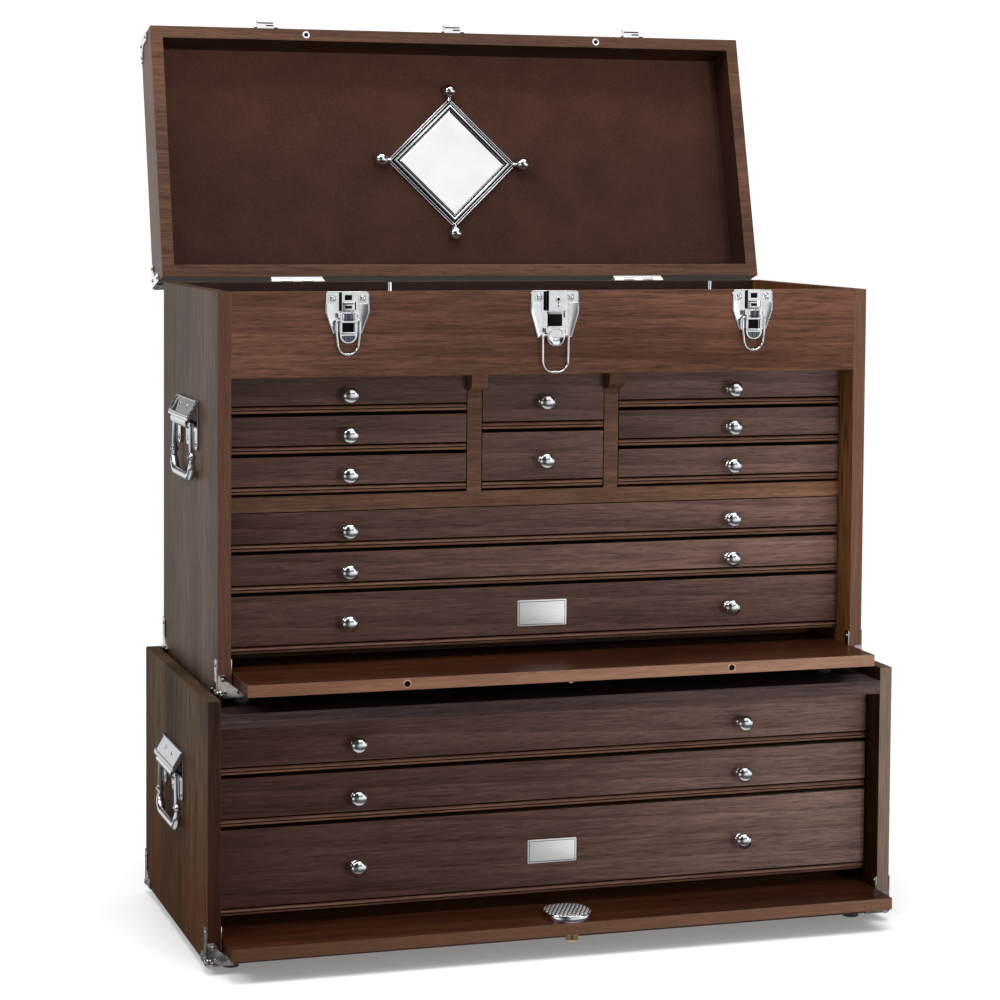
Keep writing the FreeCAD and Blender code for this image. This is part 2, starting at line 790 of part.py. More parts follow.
def build_mirror(y, top):
    """Stepped square frame on its corner with a ball at each corner, and the glass inside it."""
    glass = s.mirror_side - 2 * s.mirror_frame_width
    steps = []
    for number in range(MIRROR_STEPS):
        outer = s.mirror_side - 2 * s.mirror_step * number
        rise = s.mirror_frame_height * (number + 1) / MIRROR_STEPS
        steps.append(diamond(f"mirror_step_{number}", outer, top - rise, top, y))
    reach = s.mirror_side / root(Size(2, "2")) + s.mirror_ball_out
    level = top - s.mirror_ball_radius
    balls = [
        bar("mirror_stem_across", "x", s.mirror_ball_stem, 2 * reach, -reach, y, level),
        bar("mirror_stem_along", "y", s.mirror_ball_stem, 2 * reach, 0, y - reach, level),
    ]
    radius = s.mirror_ball_radius
    round_ball = turned("mirror_ball", [(radius, 0), (radius, radius), (s.mirror_ball_flat, 2 * radius)])
    for number, (across, along) in enumerate(((1, 0), (0, 1), (-1, 0), (0, -1))):
        ball = compound(f"mirror_ball_{number}", [round_ball])
        ball.Placement = FreeCAD.Placement(V(), FreeCAD.Rotation(V(1, 0, 0), 90))
        balls.append(put(ball, across * reach, y + along * reach, top))
    room = diamond("mirror_room", glass, level - s.mirror_frame_height, top + s.overrun, y)
    lid_node("mirror_frame", [cut("mirror_frame_cut", fuse("mirror_frame_solid", steps + balls), [room])])
    pane = glass - 2 * s.mirror_glass_gap
    lid_node("mirror_glass", [diamond("mirror_plate", pane, top - s.mirror_glass_board, top, y)])


def guard_plate(name, plane, side, rise, across, up, reverse):
    """One plate of a corner guard: two arms with clipped tips, and a hollow between them."""
    arm, hollow, tip = s.guard_arm, s.guard_hollow, s.guard_tip
    return prism(name, plane, [(across * u, up * v) for u, v in (
        (0, 0), (side, 0), (side, arm - tip), (side - tip, arm), (arm + hollow, arm),
        (arm, arm + hollow), (arm, rise - tip), (arm - tip, rise), (0, rise),
    )], s.guard_board, reverse)


def guard(name, x, y, z, side, end, up):
    """A corner guard, a plate on each outer face; side, end and up point from the corner into the box."""
    reach = s.guard_reach
    plates = [
        guard_plate(f"{name}_front", "XZ_Plane", reach, s.guard_front_rise, side, up, end < 0),
        guard_plate(f"{name}_side", "YZ_Plane", reach, s.guard_side_rise, end, up, side > 0),
        guard_plate(f"{name}_under", "XY_Plane", reach, reach, side, end, up > 0),
    ]
    return fuse(f"{name}_guard", [put(plate, x, y, z) for plate in plates])


def build_guards():
    def guards(name, width, y, z):
        return four(lambda label, side, end: guard(
            f"{name}_{label}", side * width, y[0] if end < 0 else y[1], z, -side, -end, 1))
    node("corner_guards", guards("chest", half, (front, back), chest_z)
         + guards("base", base_half, (base_front, base_back), base_z))


def build_lid_fittings(near):
    def keeper(name, place):
        plate = box(f"{name}_plate", (place - s.keeper_width / 2, place + s.keeper_width / 2),
                    (near - s.keeper_plate, near), (s.keeper_rise, s.keeper_rise + s.keeper_height))
        hook = box(f"{name}_hook", (place - s.keeper_hook_width / 2, place + s.keeper_hook_width / 2),
                   (near - s.keeper_plate - s.keeper_hook, near - s.keeper_plate),
                   (s.keeper_rise, s.keeper_rise + s.keeper_hook_height))
        return fuse(f"{name}_keeper", [plate, hook])

    pieces = [keeper("keeper_centre", 0)]
    pieces += both(lambda label, side: keeper(f"keeper_{label}", side * s.latch_spacing / 2))
    pieces += both(lambda label, side: hinge_half(
        f"lid_hinge_{label}", side * s.hinge_spacing / 2, 1, 0, 0, (s.hinge_leaf_gap, s.hinge_leaf_height)))
    pieces += four(lambda label, side, end: guard(
        f"lid_{label}", side * half, near if end < 0 else -s.hinge_offset, s.lid_height, -side, -end, -1))
    lid_node("lid_fittings", pieces)


def latch_plate(name, place, size):
    """A plate with shoulders and a tapered foot, a raised cover on its upper half, and ears with the axle."""
    wide, foot, corner = size.width / 2, size.foot / 2, s.latch_corner
    plate = prism(f"{name}_plate", "XZ_Plane", [
        (-foot, -size.height), (foot, -size.height), (wide, -size.shoulder), (wide, -corner),
        (wide - corner, 0), (corner - wide, 0), (-wide, -corner), (-wide, -size.shoulder),
    ], s.latch_plate, holes=size.plate_holes)
    put(plate, place, front, case_top)
    cover = prism(f"{name}_cover", "XZ_Plane", [
        (-size.cover_width / 2, -size.cover_length), (size.cover_width / 2, -size.cover_length),
        (size.cover_width / 2, 0), (-size.cover_width / 2, 0),
    ], size.cover, holes=size.cover_holes)
    put(cover, place, front - s.latch_plate, case_top)
    axle_z = case_top - size.axle_drop
    reach = size.lever_width / 2 + s.latch_gap
    ears = []
    for label, side in (("left", -1), ("right", 1)):
        near, far = place + side * reach, place + side * (reach + s.ear_board)
        ears.append(box(f"{name}_ear_{label}", (near, far) if side > 0 else (far, near),
                        (front - s.axle_out - s.ear_radius, front - s.latch_plate),
                        (axle_z - s.ear_radius, axle_z + s.ear_radius)))
    axle = cylinder(f"{name}_axle", "x", s.axle_radius, 2 * reach, place - reach, front - s.axle_out, axle_z)
    return fuse(f"{name}_fitting", [plate, cover, axle] + ears)


def latch_lever(name, place, size):
    """The finger lever: a block with the bores for its axle and the bail's wire, and a rounded tongue."""
    axle_z = case_top - size.axle_drop
    axle_y = front - s.axle_out
    wide = size.lever_width / 2
    length = size.lever_drop - size.axle_drop
    bend = size.lever_bend
    tongue = prism(f"{name}_tongue", "XZ_Plane", [
        (-wide, 0), (-wide, bend - length, bend, 1), (bend - wide, -length), (wide - bend, -length, bend, 1),
        (wide, bend - length), (wide, 0),
    ], s.lever_board, holes=size.lever_holes)
    put(tongue, place, axle_y + s.lever_board / 2, axle_z)
    block = box(f"{name}_block", (place - wide, place + wide),
                (axle_y - s.lever_block / 2, axle_y + s.lever_block / 2),
                (axle_z - s.wire_pitch - s.ear_radius, axle_z + s.ear_radius))
    start = place - size.width / 2
    bores = [
        bar(f"{name}_axle_bore", "x", s.axle_radius + s.axle_play, size.width, start, axle_y, axle_z),
        cylinder(f"{name}_wire_bore", "x", s.wire_radius + s.pin_play, size.width, start,
                 axle_y, axle_z - s.wire_pitch),
    ]
    return cut(f"{name}_with_bores", fuse(f"{name}_solid", [tongue, block]), bores)


def latch_bail(name, place, size):
    drop = size.bail_drop - size.axle_drop - s.wire_pitch
    bail = ring(f"{name}_wire", "XZ_Plane", "YZ_Plane", size.bail_width, drop, size.bail_bend, s.wire_radius,
                s.bar_sides)
    return put(bail, place, front - s.axle_out, case_top - size.axle_drop - s.wire_pitch)


def window(width, top, bottom):
    return [(-width / 2, -bottom), (width / 2, -bottom), (width / 2, -top), (-width / 2, -top)]


def build_latches():
    slot = window(s.latch_slot_width, s.latch_slot_drop, s.latch_slot_drop + s.latch_slot_height)
    opening = window(s.latch_window_width, s.latch_window_top - s.latch_axle_drop,
                     s.latch_window_bottom - s.latch_axle_drop)
    side_size = types.SimpleNamespace(
        width=s.latch_width, height=s.latch_height, foot=s.latch_foot_width, shoulder=s.latch_shoulder,
        cover_width=s.latch_rib_width, cover_length=s.latch_rib_length, cover=s.latch_rib,
        axle_drop=s.latch_axle_drop, lever_width=s.latch_lever_width, lever_drop=s.latch_lever_drop,
        bail_width=s.latch_bail_width, bail_drop=s.latch_bail_drop, bail_bend=s.latch_bail_bend,
        lever_bend=s.latch_lever_bend,
        plate_holes=(), cover_holes=(slot,), lever_holes=(opening,))
    centre_size = types.SimpleNamespace(
        width=s.lock_width, height=s.lock_height, foot=s.lock_foot_width, shoulder=s.lock_shoulder,
        cover_width=s.lock_cover_width, cover_length=s.lock_cover_length, cover=s.lock_cover,
        axle_drop=s.lock_axle_drop, lever_width=s.lock_lever_width, lever_drop=s.lock_lever_drop,
        bail_width=s.lock_bail_width, bail_drop=s.lock_bail_drop, bail_bend=s.lock_bail_bend,
        lever_bend=s.lock_lever_bend,
        plate_holes=(window(s.lock_window_width, s.lock_window_top, s.lock_window_bottom),),
        cover_holes=(), lever_holes=())
    places = (("left", -s.latch_spacing / 2, side_size), ("centre", 0, centre_size),
              ("right", s.latch_spacing / 2, side_size))
    node("latch_plates", [latch_plate(f"latch_{name}", place, size) for name, place, size in places])
    for name, place, size in places:
        node(f"{name}_latch_lever", [latch_lever(f"{name}_lever", place, size)])
        node(f"{name}_latch_bail", [latch_bail(f"{name}_bail", place, size)])


def clipped_end(u, v, width, clip):
    """The corners of a strip's lower end with clipped edges, from its left side at u to its right."""
    return [(u, v + clip), (u + clip, v), (u + width - clip, v), (u + width, v + clip)]


def handle_mount(name, wall, side, y, top):
    """A bracket: a plate on the wall with two tails and a tab, a sloping hood, a barrel round the bail."""
    out = side * s.hood_out
    thick = s.handle_board
    board = side * thick
    drop = s.hood_drop
    wide, tail, tab = s.handle_width / 2, s.handle_tail_width, s.handle_tab_width / 2
    hood = prism(f"{name}_hood", "XZ_Plane", [
        (0, 0), (board, 0), (out, -drop), (out, -drop - thick), (out - board, -drop - thick), (0, -2 * thick),
    ], s.handle_width)
    put(hood, wall, y + wide, top)
    plate = prism(f"{name}_wall_plate", "YZ_Plane", [
        (-wide, 0), *clipped_end(-wide, -s.handle_tail_height, tail, s.handle_clip),
        (tail - wide, -s.handle_plate_height), (-tab, -s.handle_plate_height),
        *clipped_end(-tab, -s.handle_tab_height, 2 * tab, s.handle_clip), (tab, -s.handle_plate_height),
        (wide - tail, -s.handle_plate_height),
        *clipped_end(wide - tail, -s.handle_tail_height, tail, s.handle_clip), (wide, 0),
    ], thick)
    put(plate, wall if side > 0 else wall - thick, y, top)
    axis_x = wall + out - side * s.barrel_radius
    axis_z = top - drop - s.barrel_radius
    start = y - s.barrel_width / 2
    barrel = bar(f"{name}_barrel", "y", s.barrel_radius, s.barrel_width, axis_x, start, axis_z, s.grip_sides)
    bore = cylinder(f"{name}_bore", "y", s.grip_radius + s.grip_clearance, s.barrel_width + 2 * s.overrun,
                    axis_x, start - s.overrun, axis_z)
    return cut(f"{name}_bracket", fuse(f"{name}_solid", [hood, plate, barrel]), [bore])


def build_handles():
    middle = (front + back) / 2
    base_middle = (base_front + base_back) / 2
    chest_top = (chest_z + case_top) / 2 + s.handle_top_above_middle
    base_top_z = base_top - s.base_handle_drop
    units = (("chest", half, middle, chest_top), ("base", base_half, base_middle, base_top_z))
    places = [(f"{name}_{label}", side * wall, side, y, top) for name, wall, y, top in units
              for label, side in (("left", -1), ("right", 1))]
    node("handle_mounts", [handle_mount(f"{name}_mount", wall, side, y, top)
                           for name, wall, side, y, top in places])
    for name, wall, side, y, top in places:
        bail = ring(f"{name}_bail", "YZ_Plane", "XZ_Plane", s.bail_width, s.bail_drop, s.grip_bend,
                    s.grip_radius, s.grip_sides)
        put(bail, wall + side * (s.hood_out - s.barrel_radius), y, top - s.hood_drop - s.barrel_radius)
        node(f"{name}_handle", [bail])


def check():
    """Stop with a plain message if anything in the document is unsound."""
    failed = [item.Name for item in doc.Objects if "Invalid" in item.State or "Error" in item.State]
    if failed:
        raise RuntimeError(f"objects in a bad state: {failed}")
    for part in nodes:
        if part.Shape.isNull() or not part.Shape.isValid() or not part.Shape.Solids:
            raise RuntimeError(f"no sound shape: {part.Label}")


def write():
    os.makedirs("parts", exist_ok=True)
    for part in nodes:
        part.Shape.exportStep(f"parts/{part.Label}.step")


build_case()
build_inner_boards()
build_feet()
knob = build_knob()
build_drawers()
build_panels()
build_lock_pins()
build_hinge_leaves()
build_lid()
build_guards()
build_latches()
build_handles()
doc.recompute()
check()
write()
print(f"{len(nodes)} sub-parts, {sum(len(part.Shape.Solids) for part in nodes)} solids")
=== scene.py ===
import json
import math

import bmesh
import bpy
from mathutils import Matrix, Vector

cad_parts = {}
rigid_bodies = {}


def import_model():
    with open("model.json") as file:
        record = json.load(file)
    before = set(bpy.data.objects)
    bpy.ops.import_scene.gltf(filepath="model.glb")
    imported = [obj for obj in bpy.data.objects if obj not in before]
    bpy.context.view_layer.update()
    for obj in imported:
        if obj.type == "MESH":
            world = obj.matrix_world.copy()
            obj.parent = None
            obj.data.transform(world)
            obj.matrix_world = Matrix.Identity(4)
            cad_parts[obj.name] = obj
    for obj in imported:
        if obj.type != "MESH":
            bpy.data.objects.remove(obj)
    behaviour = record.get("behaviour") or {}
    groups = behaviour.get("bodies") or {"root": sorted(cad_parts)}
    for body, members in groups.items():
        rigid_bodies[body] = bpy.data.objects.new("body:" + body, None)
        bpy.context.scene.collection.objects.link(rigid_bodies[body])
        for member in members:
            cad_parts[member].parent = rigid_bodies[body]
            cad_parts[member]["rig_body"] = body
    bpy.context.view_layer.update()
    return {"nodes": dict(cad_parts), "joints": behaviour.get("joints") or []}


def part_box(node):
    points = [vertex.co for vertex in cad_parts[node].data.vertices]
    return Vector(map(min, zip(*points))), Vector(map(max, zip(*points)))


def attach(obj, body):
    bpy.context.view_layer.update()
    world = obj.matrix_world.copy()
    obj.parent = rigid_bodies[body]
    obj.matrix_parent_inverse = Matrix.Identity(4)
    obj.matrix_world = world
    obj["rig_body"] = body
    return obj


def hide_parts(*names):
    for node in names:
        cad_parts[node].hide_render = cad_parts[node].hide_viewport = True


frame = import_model()
nodes = frame["nodes"]
MM = 0.001


# materials

def new_material(name):
    material = bpy.data.materials.new(name)
    material.use_nodes = True
    tree = material.node_tree
    return material, tree, tree.nodes["Principled BSDF"]


def fill(tree, node, inputs):
    """Set a node's inputs; an input that is a socket is linked."""
    for key, value in inputs.items():
        if isinstance(value, bpy.types.NodeSocket):
            tree.links.new(value, node.inputs[key])
        else:
            node.inputs[key].default_value = value
    return node


def add(tree, kind, inputs=None, **settings):
    """A shader node with its settings and inputs."""
    made = tree.nodes.new(kind)
    for key, value in settings.items():
        setattr(made, key, value)
    return fill(tree, made, inputs or {})


def grey(value):
    return (value, value, value)


def ramp(tree, factor, stops, interpolation="LINEAR"):
    made = add(tree, "ShaderNodeValToRGB", {0: factor})
    made.color_ramp.interpolation = interpolation
    elements = made.color_ramp.elements
    while len(elements) < len(stops):
        elements.new(0.5)
    for element, (position, colour) in zip(elements, stops):
        element.position = position
        element.color = (*colour, 1)
    return made.outputs["Color"]


def rising(tree, value, low, high, top=1.0):
    """A ramp from 0 at the low value to the top one at the high value."""
    return ramp(tree, value, [(low, grey(0.0)), (high, grey(top))])


def math_node(tree, operation, first, second=0.0, third=0.0):
    return add(tree, "ShaderNodeMath", {0: first, 1: second, 2: third}, operation=operation).outputs[0]


def times(tree, first, second):
    return math_node(tree, "MULTIPLY", first, second)


def times_plus(tree, first, second, third):
    return math_node(tree, "MULTIPLY_ADD", first, second, third)


def absolute(tree, value):
    return math_node(tree, "ABSOLUTE", value)


def mix(tree, factor, first, second, blend="MIX"):
    made = add(tree, "ShaderNodeMix", data_type="RGBA", blend_type=blend)
    colours = [value if isinstance(value, bpy.types.NodeSocket) else (*value, 1) for value in (first, second)]
    return fill(tree, made, {0: factor, 6: colours[0], 7: colours[1]}).outputs[2]


def object_place(tree):
    return add(tree, "ShaderNodeTexCoord").outputs["Object"]


def apart(tree, vector):
    return add(tree, "ShaderNodeSeparateXYZ", {0: vector}).outputs


def noise(tree, where, scale, detail, **more):
    inputs = {"Vector": where, "Scale": scale, "Detail": detail, **more}
    return add(tree, "ShaderNodeTexNoise", inputs).outputs["Fac"]


def rounding(tree, radius):
    """The normal, rounded over the edges."""
    return add(tree, "ShaderNodeBevel", {"Radius": radius}, samples=6).outputs[0]


def add_bump(tree, shader, height, strength, distance, **normal):
    inputs = {"Strength": strength, "Distance": distance, "Height": height, **normal}
    tree.links.new(add(tree, "ShaderNodeBump", inputs).outputs[0], shader.inputs["Normal"])


# radii of rounded edges, in metres
WOOD_ROUND, METAL_ROUND, PLATE_ROUND = 0.0011, 0.0005, 0.0004
# how the streaks and pores of a wood are stretched along and across its grain
FINE_GRAIN = ((26, 560), (90, 900))
LONG_GRAIN = ((9, 260), (44, 820))


def wood(name, dark, mid, light, grain, rough, coat, worn=(0.19, 0.10, 0.06), wear=0.3, figure=0.09,
         shine=0.22, front_tint_and_light=None, moulding_highlight=None, contrast=0.34, light_fades=(), inner=None, under_shade=None,
         sizes=FINE_GRAIN):
    """Stained oak: broad tone, growth bands, long streaks and short open pores along the grain.

    Faces that look to the front take front_tint_and_light, from its left colour to its right one: a tint of
    their own, with painted light and shade. moulding_highlight is a painted highlight on rounded stretches,
    and under_shade is painted shade on the faces that look down. Each of light_fades is an axis, two places
    on it and a tint for each, painted light. Inner is a half width and the colour of upright faces within it,
    painted light and shade on the inside faces.
    """
    material, tree, shader = new_material(name)
    where = object_place(tree)
    chance = add(tree, "ShaderNodeObjectInfo").outputs["Random"]
    jump = add(tree, "ShaderNodeCombineXYZ", {0: chance, 1: chance, 2: chance}).outputs[0]
    far = add(tree, "ShaderNodeVectorMath", {0: jump, 1: (3.7, 2.9, 5.3)}, operation="MULTIPLY").outputs[0]
    spot = add(tree, "ShaderNodeVectorMath", {0: where, 1: far}, operation="ADD").outputs[0]

    def stretched(along, across):
        scale = tuple(along if grain == letter else across for letter in "xyz")
        return add(tree, "ShaderNodeMapping", {"Vector": spot, "Scale": scale}).outputs[0]

    tone = noise(tree, stretched(1.6, 9), 1.0, 4.0, Roughness=0.55)
    growth = {"Vector": stretched(0.9, 27), "Scale": 1.0, "Distortion": 4.6, "Detail": 3.0,
              "Detail Scale": 0.6, "Detail Roughness": 0.62}
    bands = add(tree, "ShaderNodeTexWave", growth, wave_type="BANDS", bands_direction="DIAGONAL",
                wave_profile="SAW").outputs["Fac"]
    streaks = noise(tree, stretched(*sizes[0]), 1.0, 5.0, Roughness=0.66)
    pores = noise(tree, stretched(*sizes[1]), 1.0, 2.0, Roughness=0.5)
    lines = noise(tree, stretched(22, 560), 1.0, 3.0, Roughness=0.55)
    blend = times_plus(tree, streaks, 0.34, times_plus(tree, tone, 0.58, times(tree, bands, figure)))
    colour = ramp(tree, blend, [(0.38, dark), (0.53, mid), (0.72, light)])
    open_pores = rising(tree, pores, 0.36, 0.47)
    pore_dark = times_plus(tree, open_pores, 0.30, 0.70)
    line_dark = times_plus(tree, rising(tree, lines, 0.36, 0.54), contrast, 1 - contrast)
    shade = times(tree, pore_dark, line_dark)
    facing = add(tree, "ShaderNodeNewGeometry").outputs["True Normal"]
    faces = apart(tree, facing)
    place = apart(tree, where)
    # painted light: tints that fade along an axis
    for axis, start, end, first, last in light_fades:
        share = times_plus(tree, place[axis], 1 / (end - start), -start / (end - start))
        colour = mix(tree, 1.0, colour, ramp(tree, share, [(0.0, first), (1.0, last)]), "MULTIPLY")
    # painted light and shade: a colour for the upright faces within the inner half width
    if inner:
        within = math_node(tree, "LESS_THAN", absolute(tree, place["X"]), inner[0])
        upright = math_node(tree, "GREATER_THAN", absolute(tree, faces["X"]), 0.5)
        colour = mix(tree, times(tree, times(tree, within, upright), 0.8), colour, inner[1])
    # painted shade on the faces that look down
    if under_shade:
        down = math_node(tree, "LESS_THAN", faces["Z"], -0.8)
        colour = mix(tree, down, colour, under_shade, "MULTIPLY")
    # faces that look to the front: a tint of their own, with painted light and shade from left to right
    if front_tint_and_light:
        to_front = rising(tree, times(tree, faces["Y"], -1.0), 0.5, 0.9, 0.8)
        share = times_plus(tree, place["X"], 1.5, 0.5)
        colour = mix(tree, to_front, colour, ramp(tree, share, [(0.0, front_tint_and_light[0]), (1.0, front_tint_and_light[1])]))
        shade = math_node(tree, "MAXIMUM", shade, to_front)
    # painted highlight on the rounded stretches
    if moulding_highlight:
        leaning = absolute(tree, times(tree, faces["Y"], faces["Z"]))
        colour = mix(tree, rising(tree, leaning, 0.08, 0.4, 0.85), colour, moulding_highlight)
    shades = add(tree, "ShaderNodeCombineColor", {0: shade, 1: shade, 2: shade}).outputs[0]
    shaded = mix(tree, 1.0, colour, shades, "MULTIPLY")
    rounded = rounding(tree, WOOD_ROUND)
    flatness = add(tree, "ShaderNodeVectorMath", {0: rounded, 1: facing}, operation="DOT_PRODUCT")
    near_edge = math_node(tree, "SUBTRACT", 1.0, flatness.outputs["Value"])
    worn_here = times(tree, rising(tree, near_edge, 0.02, 0.22), wear)
    add_bump(tree, shader, times_plus(tree, open_pores, 0.6, times(tree, streaks, 0.5)), 0.22, 0.0006,
             Normal=rounded)
    fill(tree, shader, {"Base Color": mix(tree, worn_here, shaded, worn), "Coat Weight": coat,
                        "Roughness": times_plus(tree, streaks, 0.16, rough - 0.08), "Coat Roughness": 0.22,
                        "Specular IOR Level": shine})
    return material


def metal(name, colour, rough, smear, bump_size=0.04, pattern=None, shaded_pits=False):
    """Plated or polished metal: faint waves and smears in its gloss, and soft edges.

    With shaded_pits, the low places of a pattern are darkened: painted shade in its hollows.
    """
    material, tree, shader = new_material(name)
    where = object_place(tree)
    smears = noise(tree, where, 180.0, 4.0, Roughness=0.6)
    height = pattern(tree, where) if pattern else noise(tree, where, 60.0, 1.0)
    tint = ramp(tree, smears, [(0.3, tuple(c * 0.88 for c in colour)), (0.7, colour)])
    # painted shade in the low places of the pattern
    if shaded_pits:
        pit_shade = ramp(tree, height, [(0.03, grey(0.02)), (0.20, grey(1.0))])
        tint = mix(tree, 1.0, tint, pit_shade, "MULTIPLY")
    fill(tree, shader, {"Base Color": tint, "Metallic": 0.45 if shaded_pits else 1.0,
                        "Roughness": times_plus(tree, smears, smear, rough - smear / 2)})
    add_bump(tree, shader, height, 0.9 if pattern else bump_size, 0.001, Normal=rounding(tree, METAL_ROUND))
    return material


def felt(name, dark, light):
    """Felt, with painted light: lighter towards the top of the open lid."""
    material, tree, shader = new_material(name)
    where = object_place(tree)
    fibres = noise(tree, where, 900.0, 6.0, Roughness=0.7)
    patches = noise(tree, where, 26.0, 3.0)
    strands = noise(tree, where, 420.0, 3.0, Distortion=1.5)
    blend = times_plus(tree, fibres, 0.55, times(tree, patches, 0.2))
    blend = times_plus(tree, strands, 0.3, blend)
    height = times_plus(tree, apart(tree, where)["Z"], 6.0, -4.5)
    # painted light: lighter towards the top of the open lid
    top_light = ramp(tree, height, [(0.0, grey(0.52)), (1.0, grey(1.0))])
    colour = mix(tree, 1.0, ramp(tree, blend, [(0.38, dark), (0.66, light)]), top_light, "MULTIPLY")
    fill(tree, shader, {"Base Color": colour, "Roughness": 0.95, "Specular IOR Level": 0.15,
                        "Sheen Weight": 0.06, "Sheen Roughness": 0.5, "Sheen Tint": (0.5, 0.35, 0.3, 1)})
    add_bump(tree, shader, blend, 0.55, 0.0008)
    return material


def rubber(name, colour):
    material, tree, shader = new_material(name)
    grit = noise(tree, object_place(tree), 700.0, 3.0)
    tint = ramp(tree, grit, [(0.3, tuple(c * 0.7 for c in colour)), (0.7, colour)])
    fill(tree, shader, {"Base Color": tint, "Roughness": 0.7})
    add_bump(tree, shader, grit, 0.3, 0.0004)
    return material


def silvered_glass():
    material, tree, shader = new_material("mirror_glass")
    haze = noise(tree, object_place(tree), 35.0, 3.0)
    tint = ramp(tree, haze, [(0.3, (0.66, 0.66, 0.67)), (0.7, (0.72, 0.72, 0.73))])
    fill(tree, shader, {"Base Color": tint, "Roughness": times_plus(tree, haze, 0.03, 0.015),
                        "Metallic": 1.0, "Coat Weight": 0.2})
    return material


def brushed_plate():
    """A bare satin plate with fine lines along it."""
    material, tree, shader = new_material("plate_satin")
    where = object_place(tree)
    along = add(tree, "ShaderNodeMapping", {"Vector": where, "Scale": (60, 900, 1900)}).outputs[0]
    lines = noise(tree, along, 1.0, 3.0)
    tint = ramp(tree, lines, [(0.3, (0.76, 0.77, 0.78)), (0.7, (0.93, 0.94, 0.95))])
    fill(tree, shader, {"Base Color": tint, "Metallic": 0.75,
                        "Roughness": times_plus(tree, lines, 0.15, 0.30)})
    add_bump(tree, shader, lines, 0.12, 0.0003, Normal=rounding(tree, PLATE_ROUND))
    return material


def knurl(tree, where):
    """Crossed ridges."""
    turned = add(tree, "ShaderNodeMapping", {"Vector": where, "Rotation": (0, 0, math.radians(45)),
                                             "Scale": (1.0, 0.5, 1.0)}).outputs[0]
    ridges = [add(tree, "ShaderNodeTexWave", {"Vector": turned, "Scale": 105.0}, bands_direction=way)
              for way in "XY"]
    return times(tree, ridges[0].outputs["Fac"], ridges[1].outputs["Fac"])


# light_fades, painted light: the axis, where it starts and ends, and the tints there
LIT_LEFT = ("X", -0.33, 0.0, (0.70, 0.58, 0.54), (1, 1, 1))
LIT_LOW = ("Z", 0.44, 0.56, (1.28, 1.42, 1.50), (0.92, 1.06, 1.16))
LIT_RIGHT = ("X", 0.0, 0.33, (1, 1, 1), (1.65, 1.8, 1.85))
FRONT_TONES = ((0.032, 0.013, 0.009), (0.064, 0.029, 0.021), (0.112, 0.054, 0.040))
PANEL_TONES = ((0.020, 0.0052, 0.0020), (0.050, 0.0140, 0.0058), (0.098, 0.034, 0.015))
# painted shade on the faces of the back and bottom boards that look to the front
BACK_FACE_SHADE = (0.024, 0.010, 0.007)
# painted light on the chest's sides: lighter, warmer inner faces, and front edges lighter to the right
oak_side = wood("oak_side", (0.034, 0.018, 0.011), (0.084, 0.047, 0.030), (0.160, 0.098, 0.066), "z", 0.48,
                0.0, figure=0.06, shine=0.10, front_tint_and_light=((0.080, 0.032, 0.020), (0.140, 0.066, 0.040)),
                contrast=0.72, inner=(0.322, (0.190, 0.072, 0.020)), sizes=LONG_GRAIN)
# painted light and shade on the base's sides: dark inside, front edges lighter to the right, greyer at the
# top
oak_base_side = wood("oak_base_side", (0.026, 0.011, 0.005), (0.064, 0.028, 0.012), (0.118, 0.058, 0.027),
                     "z", 0.60, 0.0, figure=0.06, shine=0.03, contrast=0.7,
                     front_tint_and_light=((0.012, 0.004, 0.0045), (0.170, 0.122, 0.100)),
                     inner=(0.340, (0.020, 0.005, 0.002)), sizes=LONG_GRAIN,
                     light_fades=[("Z", 0.06, 0.20, (1.25, 0.92, 0.34), (1.50, 2.10, 2.85))])
# painted light on the drawer fronts: the lit fades, and a highlight on the beads
oak_front = wood("oak_front", *FRONT_TONES, "x", 0.38, 0.06, shine=0.18, moulding_highlight=(0.150, 0.070, 0.042),
                 light_fades=[LIT_LEFT, LIT_RIGHT, LIT_LOW])
# painted light on the base's drawer fronts: darker to the left, lighter to the right, and a highlight on the
# beads
oak_base_front = wood("oak_base_front", *FRONT_TONES, "x", 0.38, 0.06, shine=0.18,
                      moulding_highlight=(0.150, 0.070, 0.042),
                      light_fades=[("X", -0.34, 0.0, (0.74, 0.54, 0.52), (1.32, 1.42, 1.50)),
                             ("X", 0.0, 0.34, (1, 1, 1), (1.75, 2.2, 2.3))])
# painted shade: the base's top rail darker than the drawer fronts, with painted light to the right
oak_rail_shaded = wood("oak_rail_shaded", (0.018, 0.010, 0.009), (0.036, 0.020, 0.019), (0.060, 0.034, 0.030), "x", 0.40,
                0.06, shine=0.12, light_fades=[LIT_RIGHT])
# painted light: the till front lighter towards the right
oak_till = wood("oak_till", (0.046, 0.018, 0.009), (0.086, 0.036, 0.022), (0.138, 0.063, 0.040), "x", 0.46,
                0.03, shine=0.14, light_fades=[("X", 0.0, 0.33, (1.15, 1.15, 1.15), (1.6, 1.55, 1.5))])
# painted light and shade on the inner boards: lighter to the right, darker further back
oak_inner = wood("oak_inner", (0.040, 0.016, 0.008), (0.084, 0.036, 0.018), (0.140, 0.066, 0.037), "x", 0.46,
                 0.06, light_fades=[("X", 0.08, 0.33, (0.86, 0.84, 0.86), (1.7, 1.75, 1.7)),
                              ("Y", -0.125, -0.105, (1, 1, 1), (0.22, 0.18, 0.16))])
